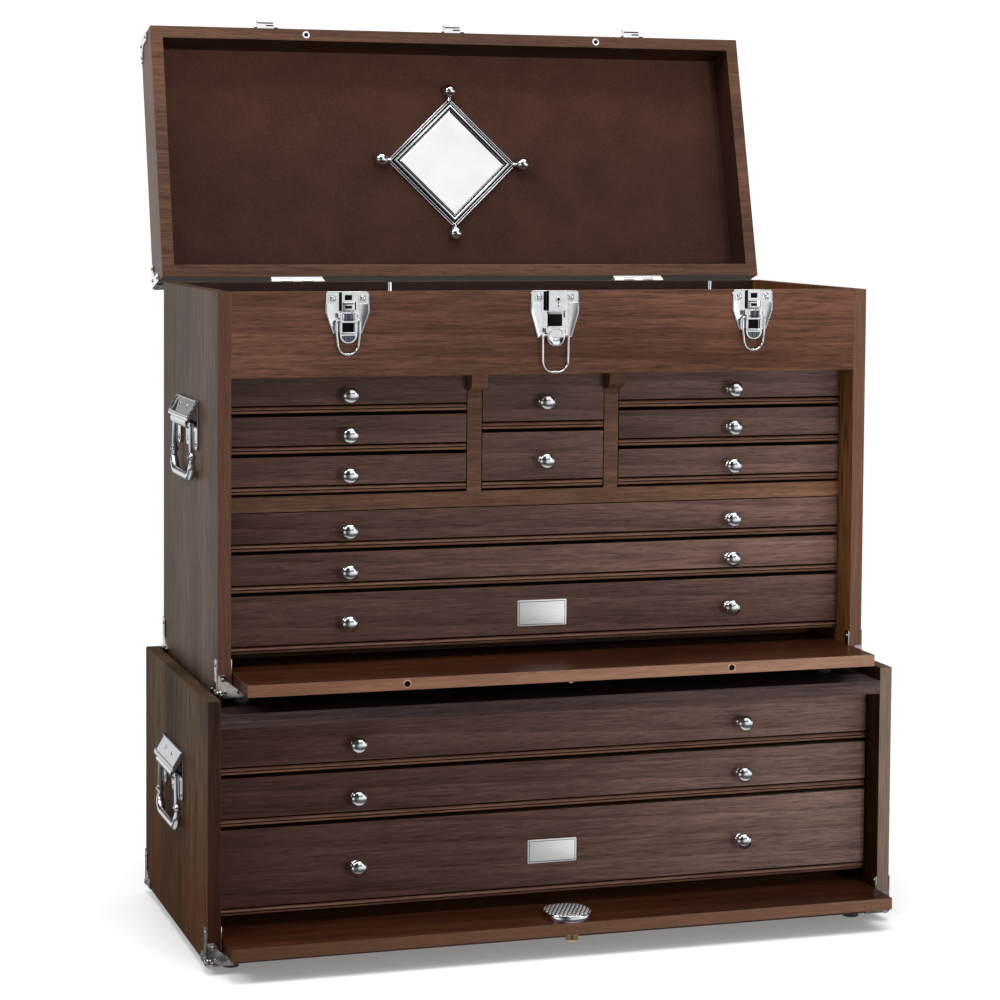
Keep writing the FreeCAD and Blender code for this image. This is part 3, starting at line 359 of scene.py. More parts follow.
# painted light on the panels' front edges: lighter to the right, the base panel's darker than the chest
# panel's
oak_panel = wood("oak_panel", *PANEL_TONES, "x", 0.32, 0.04, worn=(0.20, 0.10, 0.055), shine=0.14,
                 front_tint_and_light=((0.15, 0.066, 0.034), (0.31, 0.175, 0.115)))
oak_base_panel = wood("oak_base_panel", *PANEL_TONES, "x", 0.32, 0.04, worn=(0.12, 0.055, 0.03), shine=0.14,
                      front_tint_and_light=((0.070, 0.028, 0.014), (0.155, 0.077, 0.046)))
# painted shade on the lid: its inner upright faces and the faces that look down darker
oak_lid = wood("oak_lid", (0.050, 0.019, 0.010), (0.098, 0.041, 0.022), (0.155, 0.072, 0.042), "x", 0.44,
               0.06, inner=(0.322, (0.026, 0.008, 0.005)), under_shade=(0.22, 0.20, 0.22))
oak_back = wood("oak_back", (0.040, 0.020, 0.012), (0.075, 0.038, 0.022), (0.125, 0.068, 0.042), "z", 0.5,
                0.03, front_tint_and_light=(BACK_FACE_SHADE, BACK_FACE_SHADE), sizes=LONG_GRAIN)
oak_raw = wood("oak_raw", (0.20, 0.11, 0.055), (0.33, 0.20, 0.11), (0.46, 0.30, 0.17), "x", 0.6, 0.0,
               worn=(0.5, 0.33, 0.2), wear=0.2)
oak_shadow = wood("oak_shadow", (0.004, 0.0015, 0.001), (0.008, 0.003, 0.002), (0.012, 0.005, 0.003), "x",
                  0.7, 0.0, wear=0.0, shine=0.05)
chrome = metal("chrome", (0.74, 0.75, 0.77), 0.07, 0.05)
chrome_soft = metal("chrome_satin", (0.62, 0.64, 0.67), 0.20, 0.10)
nickel = metal("hinge_nickel", (0.86, 0.83, 0.74), 0.22, 0.12)
brass = metal("brass", (0.80, 0.58, 0.28), 0.22, 0.12)
knurled = metal("knurled_chrome", (0.82, 0.82, 0.80), 0.20, 0.08, pattern=knurl, shaded_pits=True)
# near black: painted shade in the hollows, holes and grooves of the fittings, and the dark line round the
# nameplates
black_line_and_shade = metal("black_line_and_painted_shade", (0.012, 0.012, 0.016), 0.45, 0.1)
steel_knurled = metal("dark_knurled", (0.12, 0.13, 0.16), 0.30, 0.1, pattern=knurl)
guard_metal = metal("guard_metal", (0.37, 0.34, 0.32), 0.08, 0.06, bump_size=1.0)
felt_brown = felt("felt_brown", (0.042, 0.0175, 0.0115), (0.108, 0.046, 0.031))
rubber_black = rubber("rubber_black", (0.03, 0.03, 0.03))
glass = silvered_glass()
satin = brushed_plate()

DRESS = {
    "chest_sides": oak_side, "base_sides": oak_base_side, "base_top_board": oak_rail_shaded, "back_boards": oak_back,
    "bottom_boards": oak_back, "till_front": oak_till, "inner_boards": oak_inner, "drawer_runners": oak_raw,
    "feet": rubber_black, "corner_guards": guard_metal, "handle_mounts": chrome_soft, "latch_plates": chrome,
    "hinge_leaves": nickel, "lid_frame": oak_lid, "lid_lining": felt_brown, "mirror_frame": chrome,
    "mirror_glass": glass, "lid_fittings": chrome, "lock_pins": chrome, "chest_front_panel": oak_panel,
    "base_front_panel": oak_base_panel, "base_panel_lock": knurled,
}
for name, item in nodes.items():
    material = DRESS.get(name)
    if material is None:
        front = oak_base_front if name.startswith("base_") else oak_front
        material = front if name.endswith("drawer") else chrome
    for place in item.material_slots:
        place.material = material


# shapes

# in mm: places of the outer latches and of the lock pins from the middle, a board's thickness, and the half
# widths over the side boards
LATCH_X, PIN_X, BOARD = 412.6 / 2, 163.2, 12.7
CHEST_HALF, BASE_HALF = 330.0, 346.9


def new_object(name, data):
    made = bpy.data.objects.new(name, data)
    bpy.context.scene.collection.objects.link(made)
    return made


def new_mesh(name, bm, material):
    mesh = bpy.data.meshes.new(name)
    bm.to_mesh(mesh)
    bm.free()
    mesh.materials.append(material)
    return mesh


def piece(name, bm, material, body, sharp, replaced=()):
    """Make an object of a mesh, smooth but for its sharp edges, that rides on a body."""
    bmesh.ops.recalc_face_normals(bm, faces=bm.faces)
    mesh = new_mesh(name, bm, material)
    mesh.shade_smooth()
    mesh.set_sharp_from_angle(angle=math.radians(sharp))
    made = new_object(name, mesh)
    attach(made, body)
    if replaced:
        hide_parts(*replaced)
    return made


def around(count):
    return [2 * math.pi * number / count for number in range(count)]


def quarter(steps):
    return [math.pi / 2 * number / steps for number in range(steps + 1)]


def arc(centre, radius, start, end, steps):
    """Profile points on an arc, angles in degrees."""
    angles = [math.radians(start + (end - start) * k / steps) for k in range(steps + 1)]
    return [(centre[0] + radius * math.cos(a), centre[1] + radius * math.sin(a)) for a in angles]


def turn(bm, profile, origin, axis, sides=48):
    """A profile of radius and height, in mm, turned about an axis from an origin."""
    axis = Vector(axis).normalized()
    across = axis.orthogonal().normalized()
    up = axis.cross(across)
    rings = []
    for radius, height in profile:
        centre = Vector(origin) + axis * height * MM
        if radius < 1e-6:
            rings.append([bm.verts.new(centre)])
        else:
            rings.append([bm.verts.new(centre + radius * MM * (across * math.cos(a) + up * math.sin(a)))
                          for a in around(sides)])
    for low, high in zip(rings, rings[1:]):
        for number in range(sides):
            after = (number + 1) % sides
            corners = [low[number % len(low)], low[after % len(low)],
                       high[after % len(high)], high[number % len(high)]]
            corners = list(dict.fromkeys(corners))
            if len(corners) > 2:
                bm.faces.new(corners)


def skin(bm, rings, capped=True):
    """Faces between rings that follow each other, and over both ends."""
    for one, two in zip(rings, rings[1:]):
        for k in range(len(one)):
            j = (k + 1) % len(one)
            bm.faces.new([one[k], one[j], two[j], two[k]])
    if capped:
        bm.faces.new(rings[-1])
        bm.faces.new(list(reversed(rings[0])))


def sweep(bm, path, radii, normal, closed=True, sides=16):
    """A round bar along a path in a plane; normal is across the plane."""
    normal = Vector(normal).normalized()
    count = len(path)
    rings = []
    for number, point in enumerate(path):
        before = path[(number - 1) % count] if closed or number else point
        after = path[(number + 1) % count] if closed or number < count - 1 else point
        along = (Vector(after) - Vector(before)).normalized()
        out = normal.cross(along).normalized()
        radius = radii[number] if isinstance(radii, list) else radii
        rings.append([bm.verts.new(Vector(point) + radius * (out * math.cos(a) + normal * math.sin(a)))
                      for a in around(sides)])
    skin(bm, rings + rings[:1] if closed else rings, not closed)


def slab(bm, outline, thickness, bevel, segments=2):
    """A plate of a 3-D outline, in metres, thickened by a vector, with its edges rounded by mm."""
    face = bm.faces.new([bm.verts.new(Vector(point)) for point in outline])
    made = bmesh.ops.extrude_face_region(bm, geom=[face])
    moved = [item for item in made["geom"] if isinstance(item, bmesh.types.BMVert)]
    bmesh.ops.translate(bm, verts=moved, vec=Vector(thickness))
    new_faces = {f for v in moved for f in v.link_faces} | {face}
    borders = {edge for f in new_faces for edge in f.edges}
    if bevel:
        bmesh.ops.bevel(bm, geom=list(borders), offset=bevel * MM, segments=segments, affect="EDGES",
                        profile=0.6)


def block(bm, low, high, bevel, segments=2):
    low, high = Vector(low), Vector(high)
    outline = [(low.x, low.y, low.z), (high.x, low.y, low.z), (high.x, high.y, low.z), (low.x, high.y, low.z)]
    slab(bm, outline, (0, 0, high.z - low.z), bevel, segments)


def dome(bm, origin, axis, radius, height, foot=0.0):
    """A low rounded head, in mm, that stands on a surface."""
    profile = [(radius, -0.3), (radius, foot)]
    profile += [(radius * math.cos(math.radians(a)), foot + height * math.sin(math.radians(a)))
                for a in (18, 36, 54, 72)] + [(0, foot + height)]
    turn(bm, profile, origin, axis, 24)


def screw(bm, origin, axis, radius):
    """A raised screw head with a round recess."""
    profile = [(radius, -0.4), (radius, 0.15)]
    profile += [(radius * math.cos(math.radians(a)), 0.15 + 0.75 * math.sin(math.radians(a)))
                for a in (20, 40, 58)]
    profile += [(radius * 0.42, 0.86), (radius * 0.36, 0.25), (0, 0.1)]
    turn(bm, profile, origin, axis, 28)


def dish_screw(bm, origin, axis, radius):
    """A countersunk screw in a dished hole: a low rim, a hollow and a head with a recess."""
    profile = [(radius + 0.5, -0.2), (radius + 0.3, 0.25), (radius, 0.3), (radius * 0.72, 0.06),
               (radius * 0.66, 0.3), (radius * 0.5, 0.5), (radius * 0.26, 0.54), (radius * 0.2, 0.2),
               (0, 0.15)]
    turn(bm, profile, origin, axis, 32)


# knobs

KNOB = [(0, -0.2), (5.2, -0.2), (5.2, 0.7), (4.7, 1.2), (4.0, 1.7), (3.6, 3.0), (3.6, 4.6), (4.0, 6.2),
        (4.9, 8.0), (6.2, 9.8), (7.2, 11.0), (7.8, 12.0), (8.0, 12.9), (7.85, 13.8), (7.4, 14.6), (6.6, 15.4),
        (5.4, 16.1), (3.8, 16.65), (2.0, 16.93), (0, 17.0)]
for name, item in list(nodes.items()):
    if not name.endswith(("drawer_knob", "drawer_knobs")):
        continue
    low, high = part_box(name)
    middle = (low.z + high.z) / 2
    half_size = (high.z - low.z) / 2
    places = [(low.x + high.x) / 2] if name.endswith("knob") else [low.x + half_size, high.x - half_size]
    bm = bmesh.new()
    for place in places:
        turn(bm, KNOB, (place, high.y, middle), (0, -1, 0))
    piece(f"{name}_turned", bm, chrome, item["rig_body"], 50, (name,))


# painted shade: dark lines above the bead of each drawer front and along its middle

BEAD, QUIRK, LINE_INSET = 3.0, 1.8, 0.2
# in mm from the front's foremost and lowest edges: near, far, bottom and top
DARK_LINES = ((BEAD - 0.5, BEAD + 0.1, 2 * BEAD, 2 * BEAD + QUIRK), (-0.05, 0.4, 2.6, 3.5))
for name, item in list(nodes.items()):
    if name.endswith("drawer"):
        low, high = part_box(name)
        bm = bmesh.new()
        for near, far, bottom, top in DARK_LINES:
            block(bm, (low.x + LINE_INSET * MM, low.y + near * MM, low.z + bottom * MM),
                  (high.x - LINE_INSET * MM, low.y + far * MM, low.z + top * MM), 0)
        piece(f"{name}_quirk", bm, oak_shadow, item["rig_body"], 30)


# latches

def half_bail(top, bottom, wide, spread, power, corner, bend, steps):
    """Half of a bail, as places across and up: its upper corner, a leg that spreads or draws in, and a bend.

    Corner and bend are radii, and steps are the steps of the corner, the leg and the bend.
    """
    low = bottom + bend
    points = [(wide - corner + corner * math.sin(a), top - corner + corner * math.cos(a))
              for a in quarter(steps[0])]
    for k in range(1, steps[1]):
        share = k / steps[1]
        points.append((wide + spread * share ** power, top - corner + (low - top + corner) * share))
    return points + [(wide + spread - bend + bend * math.cos(a), low - bend * math.sin(a))
                     for a in quarter(steps[2])]


BAIL_BEAD = [(0, -1.7), (0.9, -1.7), (1.5, -1.1), (1.6, 0), (1.5, 1.1), (0.9, 1.7), (0, 1.7)]
for side in ("left", "centre", "right"):
    name = f"{side}_latch_bail"
    low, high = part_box(name)
    radius = 1.05 * MM
    x, y = (low.x + high.x) / 2, (low.y + high.y) / 2
    taper, bend = (0.2, 10.5) if side == "centre" else (1.6, 9.6)
    half = half_bail(high.z - radius, low.z + radius, (high.x - low.x) / 2 - radius, -taper * MM, 2, 2.0 * MM,
                     bend * MM, (5, 8, 14))
    bm = bmesh.new()
    path = [Vector((x + u, y, z)) for u, z in half] + [Vector((x - u, y, z)) for u, z in reversed(half)]
    sweep(bm, path, radius, (0, 1, 0))
    turn(bm, BAIL_BEAD, (x, y, low.z + radius), (1, 0, 0), 20)
    piece(f"{name}_wire", bm, chrome, name, 60, (name,))

case_front, case_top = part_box("latch_plates")[1].yz


def on_latch(x, across, out, drop):
    """A point on the latch at x: across from its middle, out from the case and down from its top, in mm."""
    return Vector(((x + across) * MM, case_front - out * MM, case_top - drop * MM))


def latch_blocks(bm, x, rows):
    """Blocks on a latch, each with its left, right, top, bottom, near side, far side and rounding in mm."""
    for left, right, top, bottom, near, far, bevel in rows:
        block(bm, on_latch(x, left, far, bottom), on_latch(x, right, near, top), bevel)


OUT = (0, -1, 0)
bm = bmesh.new()
for x, across, drop in ((-LATCH_X, 14.6, 6.6), (0, 16.0, 6.4), (LATCH_X, 14.6, 6.6)):
    for way in (-1, 1):
        dish_screw(bm, on_latch(x, way * across, 1.5, drop), OUT, 3.6)
piece("latch_screws", bm, chrome, "base", 30)

# the keyhole, lips and disc of the middle latch, and the hollows and barrels of all; the hollows: painted
# shade
KEYHOLE_RIM = [(0, -0.1), (2.7, -0.1), (2.9, 0.2), (2.5, 0.5), (1.6, 0.55), (1.5, 0.2), (0, 0.1)]
LOCK_LIPS = ((-7.3, 7.3, 20.6, 22.8, 1.4, 5.4, 0.9), (-7.6, 7.6, 34.3, 35.3, 1.4, 3.2, 0.4))
LOCK_HOLLOWS = ((-7.2, 7.2, 22.6, 34.4, 0.1, 1.6, 0.2), (-11.6, -9.0, 0.6, 18.6, 1.4, 1.75, 0.1),
                (8.9, 10.2, 9.0, 26.0, 1.4, 1.75, 0.1))
SIDE_HOLLOWS = ((-8.4, -6.4, 0.6, 18.4, 1.4, 1.75, 0.1), (6.4, 8.2, 10.0, 17.4, 1.4, 1.75, 0.1),
                (-3.5, 3.5, 3.3, 8.1, 1.4, 3.2, 0.2), (-3.4, 3.4, 13.2, 16.0, 5.4, 5.65, 0.1),
                (-6.2, 6.2, 24.6, 38.4, 1.4, 1.9, 0.2))
SIDE_BARRELS = ((-5.7, 5.7, 10.0, 19.2, 4.4, 5.5, 0.6),)
keyhole = on_latch(0, 0.8, 9.5, 8.2)
bm = bmesh.new()
turn(bm, KEYHOLE_RIM, keyhole, OUT, 32)
latch_blocks(bm, 0, LOCK_LIPS)
piece("lock_trim", bm, chrome, "base", 30)
bm = bmesh.new()
turn(bm, [(8.3, 0.9), (8.5, 1.3), (8.3, 1.8), (7.6, 1.9), (6.9, 1.4), (3.5, 1.0), (0, 0.85)],
     on_latch(0, 0, 4.8, 44.6), OUT)
piece("lock_disc", bm, chrome, "centre_latch_lever", 30)
# painted shade: black sheets in the keyhole, the slots, the lever windows and beside the ribs
bm = bmesh.new()
turn(bm, [(0, 0.12), (1.5, 0.12), (1.35, 0.3), (0, 0.32)], keyhole, OUT, 24)
latch_blocks(bm, 0.8, ((-0.6, 0.6, 8.8, 12.2, 9.4, 9.7, 0.1),))
turn(bm, [(0, 0.05), (0.8, 0.05), (0.7, 0.2), (0, 0.22)], on_latch(0, 0.8, 9.5, 14.6), OUT, 20)
latch_blocks(bm, 0, LOCK_HOLLOWS)
for x in (-LATCH_X, LATCH_X):
    latch_blocks(bm, x, SIDE_HOLLOWS)
piece("latch_hollows", bm, black_line_and_shade, "base", 30)
bm = bmesh.new()
for x in (-LATCH_X, LATCH_X):
    latch_blocks(bm, x, SIDE_BARRELS)
piece("latch_barrels", bm, chrome, "base", 30)

# the rolled rim of each plate, and its cheeks, dished up to the rim
# in mm: half width, half width of the foot, the shoulder's drop, height, and the cheeks' inner side
SIDE_PLATE = (21.25, 14.25, 20.0, 39.5, 11.6)
LOCK_PLATE = (24.5, 17.5, 21.5, 45.0, 13.6)
PLATES = ((-LATCH_X, SIDE_PLATE), (0, LOCK_PLATE), (LATCH_X, SIDE_PLATE))
CHEEK_STEPS = 6
rims = bmesh.new()
cheeks = bmesh.new()
for x, (wide, foot, shoulder, tall, inner) in PLATES:
    rim = [(-foot, tall), (-wide, shoulder), (-wide, 2.0), (2.0 - wide, 0.3), (wide - 2.0, 0.3), (wide, 2.0),
           (wide, shoulder), (foot, tall)]
    sweep(rims, [on_latch(x, u * 0.985, 1.6, v * 0.99) for u, v in rim], 0.42 * MM, (0, 1, 0), False, 8)
    for way in (-1, 1):
        rows = []
        for drop in (11.6, shoulder, tall - 1.0):
            reach = (wide if drop <= shoulder else foot) - 1.0 - inner
            rows.append([cheeks.verts.new(on_latch(x, way * (inner + reach * k / CHEEK_STEPS),
                                                   1.55 + 0.75 * (k / CHEEK_STEPS) ** 2, drop))
                         for k in range(CHEEK_STEPS + 1)])
        sheet = [cheeks.faces.new([one[k], one[k + 1], two[k + 1], two[k]])
                 for one, two in zip(rows, rows[1:]) for k in range(CHEEK_STEPS)]
        for item in bmesh.ops.extrude_face_region(cheeks, geom=sheet)["geom"]:
            if isinstance(item, bmesh.types.BMVert):
                item.co.y = case_front - 1.3 * MM
piece("latch_rims", rims, chrome, "base", 50)
piece("latch_cheeks", cheeks, chrome, "base", 30)

# a bright bar and a knurled tongue on each finger lever of the outer latches
LEVER_BARS = ((-6.9, 6.9, 38.1, 40.2, 4.6, 6.9, 0.9), (-6.3, -5.0, 19.6, 27.0, 5.6, 7.2, 0.4),
              (5.0, 6.3, 19.6, 27.0, 5.6, 7.2, 0.4))
for side, x in (("left", -LATCH_X), ("right", LATCH_X)):
    bm = bmesh.new()
    latch_blocks(bm, x, LEVER_BARS)
    piece(f"{side}_lever_bar", bm, chrome, f"{side}_latch_lever", 30)
    bm = bmesh.new()
    tongue = [on_latch(x, u, 5.7, 41.4 - v * 0.95) for u, v in arc((0, 0), 6.6, 180, 360, 16)]
    slab(bm, tongue, (0, -0.35 * MM, 0), 0.1, 1)
    latch_blocks(bm, x, ((-4.6, 4.6, 20.4, 27.6, 6.5, 6.75, 0.1),))
    piece(f"{side}_lever_tongue", bm, steel_knurled, f"{side}_latch_lever", 30)


# side handles

def rod_radius(share):
    """The bail's radius, as a share of its grip's, down from its top: thin leg, bead, neck and grip."""
    bead = 0.42 * math.exp(-((share - 0.60) / 0.035) ** 2)
    grip = 0.36 * min(1, max(0, (share - 0.68) / 0.10))
    return 0.64 + bead + grip


# in mm: how much the bail's top is narrower than its box, how far its legs spread, and the radii of its bends
TOP_INSET, LEG_SPREAD, TOP_BEND, GRIP_BEND = 2, 5, 4.6, 15
for unit in ("chest", "base"):
    for side in ("left", "right"):
        name = f"{unit}_{side}_handle"
        low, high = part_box(name)
        radius = (high.x - low.x) / 2
        x, y = (low.x + high.x) / 2, (low.y + high.y) / 2
        wide = (high.y - low.y) / 2 - radius - TOP_INSET * MM
        bottom = low.z + radius
        half = half_bail(high.z - radius, bottom, wide, LEG_SPREAD * MM, 1.4, TOP_BEND * MM, GRIP_BEND * MM,
                         (6, 30, 12))
        half += [((wide + (LEG_SPREAD - GRIP_BEND) * MM) * (1 - k / 8), bottom) for k in range(1, 8)]
        path = [Vector((x, y + u, z)) for u, z in half] + [Vector((x, y - u, z)) for u, z in reversed(half)]
        radii = [radius * 0.94 if point.z > high.z - radius * 1.6
                 else radius * 1.06 * rod_radius((high.z - point.z) / (high.z - low.z)) for point in path]
        bm = bmesh.new()
        sweep(bm, path, radii, (1, 0, 0), True, 20)
        piece(f"{name}_rod", bm, chrome_soft, name, 60, (name,))

# the mounts: screws, and on the hood's slope a rolled rim, rivets and, on the chest, a black sheet at the far
# end:
# painted shade in the hollow there
MOUNT_SCREWS = ((-41.5, 42), (41.5, 42), (0, 40))  # across and down from the ridge, in mm
HOOD_OUT, HOOD_DROP, HOOD_WIDE, RIDGE_RISE, MOUNT_THICK = 10, 17, 95, 22.6, 2
HOOD_RIM = ((-46.2, 0.05), (46.2, 0.05), (46.2, 0.90), (-46.2, 0.90))  # mm across, and a share of the slope
HOOD_HOLLOW = ((0.15, 0.24), (0.12, 0.84), (0.30, 0.88))  # shares of the width and of the slope
screws = bmesh.new()
rims = bmesh.new()
hollows = bmesh.new()
for unit, wall in (("chest", CHEST_HALF), ("base", BASE_HALF)):
    for side, way in (("left", -1), ("right", 1)):
        low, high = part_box(f"{unit}_{side}_handle")
        pivot_z = high.z - (high.x - low.x) / 2
        ridge = Vector((way * (wall + MOUNT_THICK) * MM, (low.y + high.y) / 2, pivot_z + RIDGE_RISE * MM))
        for across, drop in MOUNT_SCREWS:
            screw(screws, ridge + Vector((0, across, -drop)) * MM, (way, 0, 0), 2.9)
        slope = Vector((way * HOOD_OUT, 0, -HOOD_DROP)) * MM
        outward = Vector((way * HOOD_DROP, 0, HOOD_OUT)).normalized()
        rim = [ridge + Vector((0, across * MM, 0)) + slope * down + outward * 0.2 * MM
               for across, down in HOOD_RIM]
        sweep(rims, rim, 0.8 * MM, outward, True, 10)
        if unit == "chest":
            hollow = [ridge + Vector((0, (0.5 - u) * HOOD_WIDE * MM, 0)) + slope * v for u, v in HOOD_HOLLOW]
            slab(hollows, hollow, outward * 0.3 * MM, 0.1, 1)
        for across in (-16, 16):
            dome(rims, ridge + Vector((0, across * MM, 0)) + slope * 0.42, outward, 2.2, 1.0)
piece("handle_screws", screws, chrome, "base", 30)
piece("hood_rims", rims, chrome_soft, "base", 40)
piece("hood_hollows", hollows, black_line_and_shade, "base", 30)


# mirror

# places in from the frame's outer edge and out from the felt, in mm
OUTER_BEAD = [(0.0, 0.0), (0.0, 2.2)] + arc((0.6, 2.2), 0.6, 180, 0, 6)
OUTER_GROOVE = [(1.3, 1.9), (2.3, 2.0)]
THIN_BEAD = arc((2.9, 2.7), 0.55, 180, 0, 6)
MAIN_GROOVE = [(3.5, 2.2), (5.2, 2.6)]
MAIN_BEAD = arc((6.5, 4.3), 1.25, 180, 0, 9)
INNER_GROOVE = [(7.8, 3.4), (9.2, 3.5)]
INNER_BEAD = [(9.3, 4.0), (9.5, 4.0), (9.5, 3.6)]
GROOVES = OUTER_GROOVE + MAIN_GROOVE + INNER_GROOVE
FRAME_SECTION = OUTER_BEAD + OUTER_GROOVE + THIN_BEAD + MAIN_GROOVE + MAIN_BEAD + INNER_GROOVE + INNER_BEAD
DARK_STARTS = [index for index, point in enumerate(FRAME_SECTION[:-1])
               if point in GROOVES or FRAME_SECTION[index + 1] in GROOVES]
MIRROR_SIDE, FRAME_WIDE = 103, 9.5
DIAGONAL = math.sqrt(2)
LID_OPEN, ASKEW = 105, 1.5  # degrees

glass_low, glass_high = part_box("mirror_glass")
lean = math.radians(LID_OPEN - 90)
face_out = Vector((0, -math.cos(lean), math.sin(lean)))
up_lid = Vector((0, math.sin(lean), math.cos(lean)))
side_x = Vector((1, 0, 0))
askew = Matrix.Rotation(math.radians(ASKEW), 3, -face_out)
corners_out = [askew @ way for way in (side_x, up_lid, -side_x, -up_lid)]
felt_plane = (glass_low + glass_high) / 2 - face_out * 2 * MM
half_diagonal = MIRROR_SIDE / DIAGONAL


def on_mirror(corner, across, out):
    """A point in mm: across from the mirror's middle towards a corner, and out from the felt."""
    return felt_plane + corner * across * MM + face_out * out * MM


bm = bmesh.new()
rings = [[bm.verts.new(on_mirror(corner, half_diagonal - inward * DIAGONAL, out))
          for inward, out in FRAME_SECTION] for corner in corners_out]
# the faces in the grooves take the second material, black: painted shade in the grooves
for here, after in zip(rings, rings[1:] + rings[:1]):
    for k in range(len(here) - 1):
        strip = bm.faces.new([here[k], here[k + 1], after[k + 1], after[k]])
        strip.material_index = 1 if k in DARK_STARTS else 0
    bm.faces.new([here[-1], here[0], after[0], after[-1]])
BALL = [(0, -5.7), (2.4, -5.7), (2.8, -5.2)] + arc((0, 0), 7.3, -50, 90, 12)
BALL_AT, STEM_FROM = 7, -4  # out from the frame's corner in mm
for corner in corners_out:
    centre = on_mirror(corner, half_diagonal + BALL_AT, 0)
    turn(bm, BALL, centre + face_out * 5.8 * MM, face_out, 32)
    stem_start = on_mirror(corner, half_diagonal + STEM_FROM, 3.6)
    length = BALL_AT - STEM_FROM
    turn(bm, [(0, 0), (2.6, 0), (2.4, length * 0.3), (1.9, length * 0.5), (2.6, length * 0.62),
              (2.0, length * 0.72), (2.0, length), (0, length)], stem_start, corner, 24)
cast = piece("mirror_frame_cast", bm, chrome, "lid", 40, ("mirror_frame",))
# the second material: black, painted shade in the grooves
cast.data.materials.append(black_line_and_shade)

# the pane, with a bevelled edge
bm = bmesh.new()
pane = (MIRROR_SIDE - 2 * FRAME_WIDE) / DIAGONAL - 0.3
skin(bm, [[bm.verts.new(on_mirror(corner, pane - inset, out)) for corner in corners_out]
          for inset, out in ((0, 0.4), (0, 2.6), (2.4, 3.3))])
piece("mirror_pane", bm, glass, "lid", 3, ("mirror_glass",))


# corner guards

GUARD_THICK = 1.2
# in mm from the corner: along, down on the front or back, and down on the side
GUARD_RIVETS = ((7.5, 4.8, 4.8), (20.0, 4.8, 4.8), (4.8, 16.5, 30.0))


def guard_trim(bm, corner, ways, radius, inset, axes=Matrix.Identity(3)):
    """Rounded corner and rivets of one guard; the ways point from the corner outwards, along the axes."""
    corner = Vector(corner)
    x_way, y_way, z_way = ways
    turn(bm, arc((0, 0), radius, -90, 90, 16), corner - axes @ Vector(ways) * inset * MM,
         axes @ Vector((0, 0, 1)), 28)
    for along, drop, side_drop in GUARD_RIVETS:
        place = Vector((-x_way * along, y_way * GUARD_THICK, -z_way * drop)) * MM
        dome(bm, corner + axes @ place, axes @ Vector((0, y_way, 0)), 1.9, 1.1)
        place = Vector((x_way * GUARD_THICK, -y_way * along, -z_way * side_drop)) * MM
        dome(bm, corner + axes @ place, axes @ Vector((x_way, 0, 0)), 1.9, 1.1)


bm = bmesh.new()
sides_low, sides_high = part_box("chest_sides")
base_low, base_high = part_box("base_sides")
for low, high in ((sides_low, sides_high), (base_low, base_high)):
    for x, x_way in ((low.x, -1), (high.x, 1)):
        for y, y_way in ((low.y, -1), (high.y, 1)):
            guard_trim(bm, (x, y, low.z), (x_way, y_way, -1), 5.0, 2.4)
piece("case_guard_trim", bm, guard_metal, "base", 35)

hinge = next(joint for joint in frame["joints"] if joint["name"] == "lid_hinge")
LID_AXES = Matrix.Rotation(math.radians(-LID_OPEN), 3, "X")
LID_DOWN = LID_AXES @ Vector((0, 0, -1))
LID_NEAR, LID_FAR, LID_TOP = -(269.5 + 5.0), -5.0, 55  # the lid's faces, in mm from the hinge axis


def lid_point(x, y, z):
    """A point of the closed lid, in mm from the hinge axis, where the open lid has it."""
    return Vector((x * MM, *hinge["pos_m"][1:])) + LID_AXES @ Vector((0, y, z)) * MM


bm = bmesh.new()
for x_way in (-1, 1):
    for y, y_way in ((LID_NEAR, -1), (LID_FAR, 1)):
        guard_trim(bm, lid_point(x_way * CHEST_HALF, y, LID_TOP), (x_way, y_way, 1), 3.9, 2.9, LID_AXES)
piece("lid_guard_trim", bm, guard_metal, "lid", 35)

# keepers: a rolled end on each hook, and black sheets of painted shade in the hollows under it and along the
# plate
HOOK_HALF, HOOK_OUT, HOOK_UP = 9.0, 8.5, 3.6
HOOK_ROLL = [(0, 0), (1.1, 0), (1.15, 0.3), (1.15, 2 * HOOK_HALF - 0.3), (1.1, 2 * HOOK_HALF),
             (0, 2 * HOOK_HALF)]
# in mm: left and right, and the near and far side out from the lid's front
HOOK_HOLLOWS = ((0.6 - HOOK_HALF, HOOK_HALF - 0.6, 5.9, 7.2), (0.5, HOOK_HALF - 0.4, 3.0, 4.4),
                (-HOOK_HALF - 3.4, -HOOK_HALF, 0.2, 1.9), (HOOK_HALF, HOOK_HALF + 4.6, 0.2, 1.9))
bm = bmesh.new()
dark = bmesh.new()
for x in (-LATCH_X, 0, LATCH_X):
    turn(bm, HOOK_ROLL, lid_point(x - HOOK_HALF, LID_NEAR - HOOK_OUT, HOOK_UP), (1, 0, 0), 20)
    for left, right, near, far in HOOK_HOLLOWS:
        outline = [lid_point(x + across, LID_NEAR - out, 2.5)
                   for across, out in ((left, near), (right, near), (right, far), (left, far))]
        slab(dark, outline, LID_DOWN * 0.2 * MM, 0.05, 1)
piece("keeper_rolls", bm, chrome, "lid", 35)
piece("keeper_hollows", dark, black_line_and_shade, "lid", 35)

# striker pads for the lock pins, on the lid's rim, with a black disc of painted shade in each hole
PAD = [(2.2, -0.4), (4.0, -0.4), (4.0, 0.04), (3.8, 0.08), (2.4, 0.08), (2.2, 0.04), (2.2, -0.4)]
PAD_HOLE = [(0, -0.3), (2.1, -0.3), (2.1, 0.03), (0, 0.03)]
for name, profile, material, sides in (("striker_pads", PAD, chrome, 32),
                                       ("striker_holes", PAD_HOLE, black_line_and_shade, 24)):
    bm = bmesh.new()
    for x in (-PIN_X, PIN_X):
        turn(bm, profile, lid_point(x, LID_NEAR + BOARD / 2, 0), LID_DOWN, sides)
    piece(name, bm, material, "lid", 35)


# bare nameplates

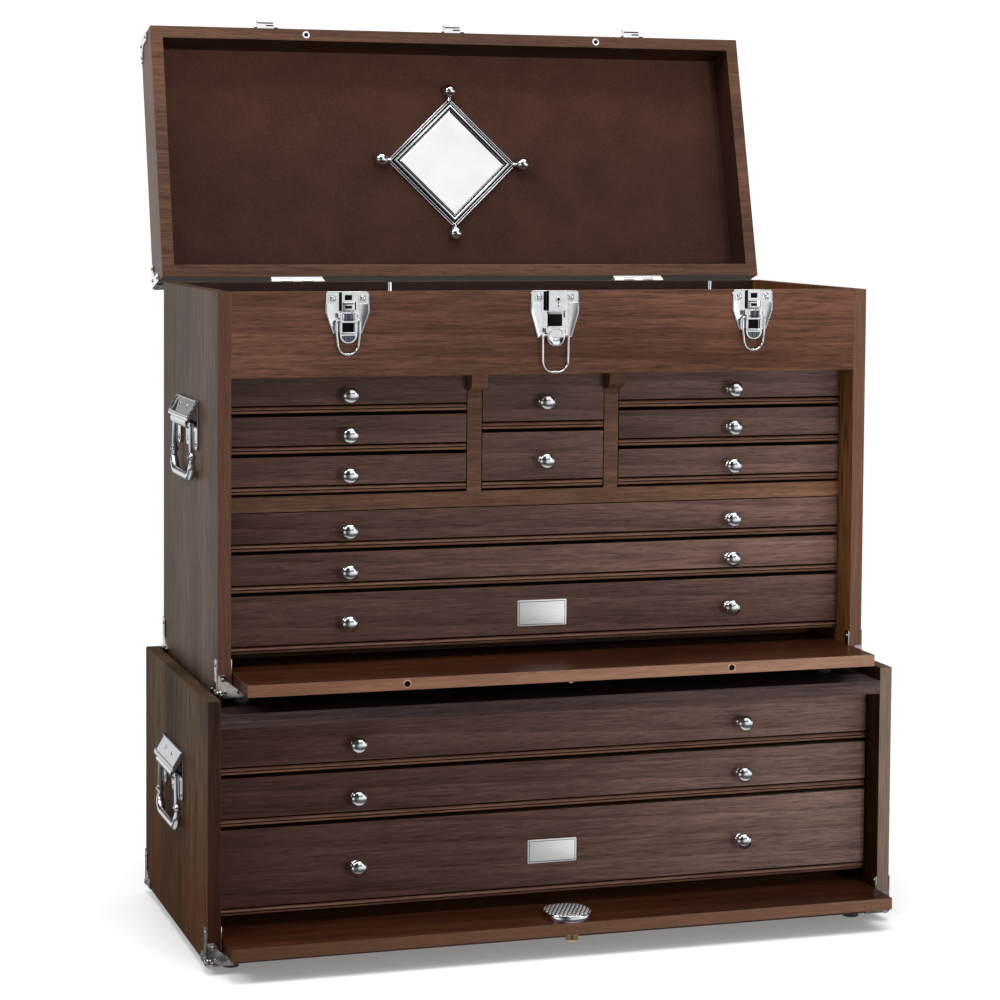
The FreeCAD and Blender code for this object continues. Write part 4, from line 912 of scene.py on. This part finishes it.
def bare_plate(name, body, z, wide, tall, face_y):
    """A plate with round corners and a dark line round its face, in the middle of a drawer front, in mm."""
    corner, edge, line, thick = 1.2, 1.3, 0.5, 1.0
    outline = []
    for x_way, z_way, start in ((1, 1, 0), (-1, 1, 90), (-1, -1, 180), (1, -1, 270)):
        centre = (x_way * (wide / 2 - corner), z_way * (tall / 2 - corner))
        outline += [(u * MM, face_y, z + v * MM) for u, v in arc(centre, corner, start, start + 90, 3)]
    bm = bmesh.new()
    slab(bm, outline, (0, -thick * MM, 0), 0.25)
    piece(name, bm, satin, body, 30)
    bm = bmesh.new()
    x, up = wide / 2 - edge, tall / 2 - edge
    for left, bottom, right, top in ((-x, up - line, x, up), (-x, -up, x, line - up), (-x, -up, line - x, up),
                                     (x - line, -up, x, up)):
        block(bm, (left * MM, face_y - (thick + 0.15) * MM, z + bottom * MM),
              (right * MM, face_y - (thick - 0.2) * MM, z + top * MM), 0.05, 1)
    piece(f"{name}_border", bm, black_line_and_shade, body, 30)


chest_z = sides_low.z
base_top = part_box("base_top_board")[1].z
bare_plate("chest_nameplate", "wide_lower_drawer", chest_z + 62.4 * MM, 50.5, 25.5,
           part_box("wide_lower_drawer_knobs")[1].y)
bare_plate("base_nameplate", "base_lower_drawer", base_top - 156 * MM, 50, 23,
           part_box("base_lower_drawer_knobs")[1].y)


# front panels: holes with black discs of painted shade in them, pull and guides

panel_low, panel_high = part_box("chest_front_panel")
GROMMET = [(2.6, 3.0), (2.7, 0.3), (2.9, -0.15), (3.6, -0.25), (4.1, -0.1), (4.2, 0.3)]
HOLE = [(0, -0.1), (2.8, -0.1), (2.8, 0.4), (0, 0.4)]
for name, profile, material in (("panel_grommets", GROMMET, oak_raw), ("panel_holes", HOLE, black_line_and_shade)):
    bm = bmesh.new()
    for x in (-PIN_X, PIN_X):
        turn(bm, profile, (x * MM, panel_low.y, (panel_low.z + panel_high.z) / 2), (0, 1, 0), 32)
    piece(name, bm, material, "chest_front_panel", 30)
bm = bmesh.new()
dome(bm, (0, panel_low.y + 5.5 * MM, panel_low.z), (0, 0, -1), 3.2, 1.7, 1.0)
piece("panel_pull", bm, chrome, "chest_front_panel", 35)

guide_top = min(base_top - 195 * MM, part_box("base_lower_drawer")[0].z - 1 * MM)
# half width between the side boards in mm, front, bottom and top, and the rivet's drop from the top in mm
GUIDES = ((CHEST_HALF - BOARD, sides_low.y, chest_z + 11.6 * MM, chest_z + 35.3 * MM, 5.3),
          (BASE_HALF - BOARD, base_low.y, base_top - 219.7 * MM, guide_top, 4))
GUIDE_THICK, GUIDE_NEAR, GUIDE_FAR, GUIDE_RIVET = 1.1, 0.4, 9, 4.6
bm = bmesh.new()
for way in (-1, 1):
    for half, near, bottom, top, drop in GUIDES:
        face = way * (half - GUIDE_THICK) * MM
        left, right = sorted((face, way * half * MM))
        block(bm, (left, near + GUIDE_NEAR * MM, bottom), (right, near + GUIDE_FAR * MM, top), 0.3)
        dome(bm, (face, near + GUIDE_RIVET * MM, top - drop * MM), (-way, 0, 0), 1.9, 1.0)
piece("panel_guides", bm, chrome, "base", 35)


# base lock: an oval case and a round barrel

low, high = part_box("base_panel_lock")
panel_low, panel_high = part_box("base_front_panel")
x = (low.x + high.x) / 2
rx, ry = (high.x - low.x) / 2, 23 * MM
centre_y = low.y + ry


def oval(value):
    return math.copysign(abs(value) ** 0.86, value)


# the case's levels, each a share of the oval and a height above the panel in mm, and where its top starts
CASE_LEVELS = ((0.985, -0.2), (1.0, 0.6), (1.0, 5.4), (0.975, 6.8), (0.93, 7.6), (0.86, 8.0))
TOP_FROM = 6.7
bm = bmesh.new()
skin(bm, [[bm.verts.new((x + rx * oval(math.cos(a)) * share, centre_y + ry * oval(math.sin(a)) * share,
                         panel_high.z + rise * MM)) for a in around(56)] for share, rise in CASE_LEVELS])
for face in bm.faces:
    if min(corner.co.z for corner in face.verts) > panel_high.z + TOP_FROM * MM:
        face.material_index = 1
case = piece("panel_lock_case", bm, chrome, "base_front_panel", 40, ("base_panel_lock",))
case.data.materials.append(knurled)
bm = bmesh.new()
turn(bm, [(0, -1), (6.4, -1), (6.5, 4.8), (6.2, 6.4), (5.2, 7.3), (4.0, 7.5), (3.6, 7.1), (0, 7.0)],
     (0, low.y + 9 * MM, panel_low.z), (0, 0, -1), 40)
piece("panel_lock_barrel", bm, brass, "base_front_panel", 30)


# floor, light and camera

floor_material, tree, shader = new_material("floor_pale")
where = object_place(tree)
distance = add(tree, "ShaderNodeVectorMath", {0: where}, operation="LENGTH").outputs["Value"]
away = ramp(tree, times(tree, distance, 0.25), [(0.22, grey(0.0)), (0.75, grey(1.0))], "EASE")
pale = ramp(tree, noise(tree, where, 1.2, 2.0), [(0.3, grey(0.86)), (0.7, grey(0.89))])
fill(tree, shader, {"Base Color": mix(tree, away, pale, grey(0.02)), "Roughness": 0.75,
                    "Specular IOR Level": 0.1, "Emission Color": (1, 1, 1, 1),
                    "Emission Strength": times_plus(tree, away, 0.84, 0.16)})

bm = bmesh.new()
bmesh.ops.create_grid(bm, x_segments=2, y_segments=2, size=30)
floor = new_object("floor", new_mesh("floor", bm, floor_material))
floor.location = (0, 0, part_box("feet")[0].z)
floor.visible_glossy = False

world = bpy.context.scene.world or bpy.data.worlds.new("studio")
bpy.context.scene.world = world
world.use_nodes = True
tree = world.node_tree
where = add(tree, "ShaderNodeTexCoord").outputs["Generated"]
height = times_plus(tree, apart(tree, where)["Z"], 0.5, 0.5)
sky = ramp(tree, height, [(0.0, grey(0.70)), (0.14, grey(0.70)), (0.24, grey(0.10)), (0.36, grey(0.14)),
                          (0.43, grey(0.95)), (0.53, grey(0.95)), (0.58, grey(0.10)), (0.88, grey(0.06)),
                          (0.91, grey(1.5)), (1.0, grey(1.5))])
# a dark studio behind the photographer's place
facing = add(tree, "ShaderNodeVectorMath", {0: where, 1: (-0.30, -0.954, 0)}, operation="DOT_PRODUCT")
dim = ramp(tree, facing.outputs["Value"], [(0.74, grey(1.0)), (0.87, grey(0.85)), (0.94, grey(0.25)),
                                           (1.0, grey(0.08))])
sky = mix(tree, 1.0, sky, dim, "MULTIPLY")
seen = add(tree, "ShaderNodeLightPath").outputs["Is Camera Ray"]
fill(tree, tree.nodes["Background"], {"Color": mix(tree, seen, sky, grey(1.0)), "Strength": 1.1})


def softbox(name, place, aim, size, power, shiny=True):
    light = bpy.data.lights.new(name, "AREA")
    light.shape = "RECTANGLE"
    light.size, light.size_y = size
    light.energy = power
    made = new_object(name, light)
    made.location = place
    made.rotation_euler = (Vector(aim) - Vector(place)).to_track_quat("-Z", "Y").to_euler()
    made.visible_glossy = shiny


softbox("light_top", (0.1, -0.5, 3.4), (0, 0, 0.3), (2.8, 2.2), 62)
softbox("light_front", (1.35, -3.6, 2.75), (0, -0.1, 0.55), (3.2, 2.6), 32)
softbox("light_key", (0.85, -3.6, 0.5), (0.1, -0.1, 0.45), (0.35, 0.4), 50, shiny=False)
softbox("light_right", (2.7, -3.0, 0.95), (0.2, -0.1, 0.45), (1.0, 1.4), 12)
softbox("light_left", (-3.2, -0.8, 3.0), (-0.3, 0, 0.75), (1.6, 1.2), 62)
bpy.context.scene.view_settings.view_transform = "Standard"

# the photo's camera, solved from the straight edges of the chest and base
CAMERA_AT = (-0.8466, -2.6325, 0.7315)
yaw, pitch, roll = math.radians(-17.600), math.radians(-3.458), math.radians(0.415)
forward = Vector((-math.sin(yaw) * math.cos(pitch), math.cos(yaw) * math.cos(pitch), math.sin(pitch)))
right = Vector((math.cos(yaw), math.sin(yaw), 0))
up = right.cross(forward)
rolled = right * math.cos(roll) + up * math.sin(roll)
above = up * math.cos(roll) - right * math.sin(roll)
data = bpy.data.cameras.new("camera")
data.sensor_width = 36
data.lens = 97.5
data.shift_x = 0.0079
data.shift_y = -0.1485
camera = new_object("camera", data)
turned = Matrix((rolled, above, -forward)).transposed().to_4x4()
camera.matrix_world = Matrix.Translation(Vector(CAMERA_AT)) @ turned
bpy.context.scene.camera = camera

bpy.context.view_layer.update()
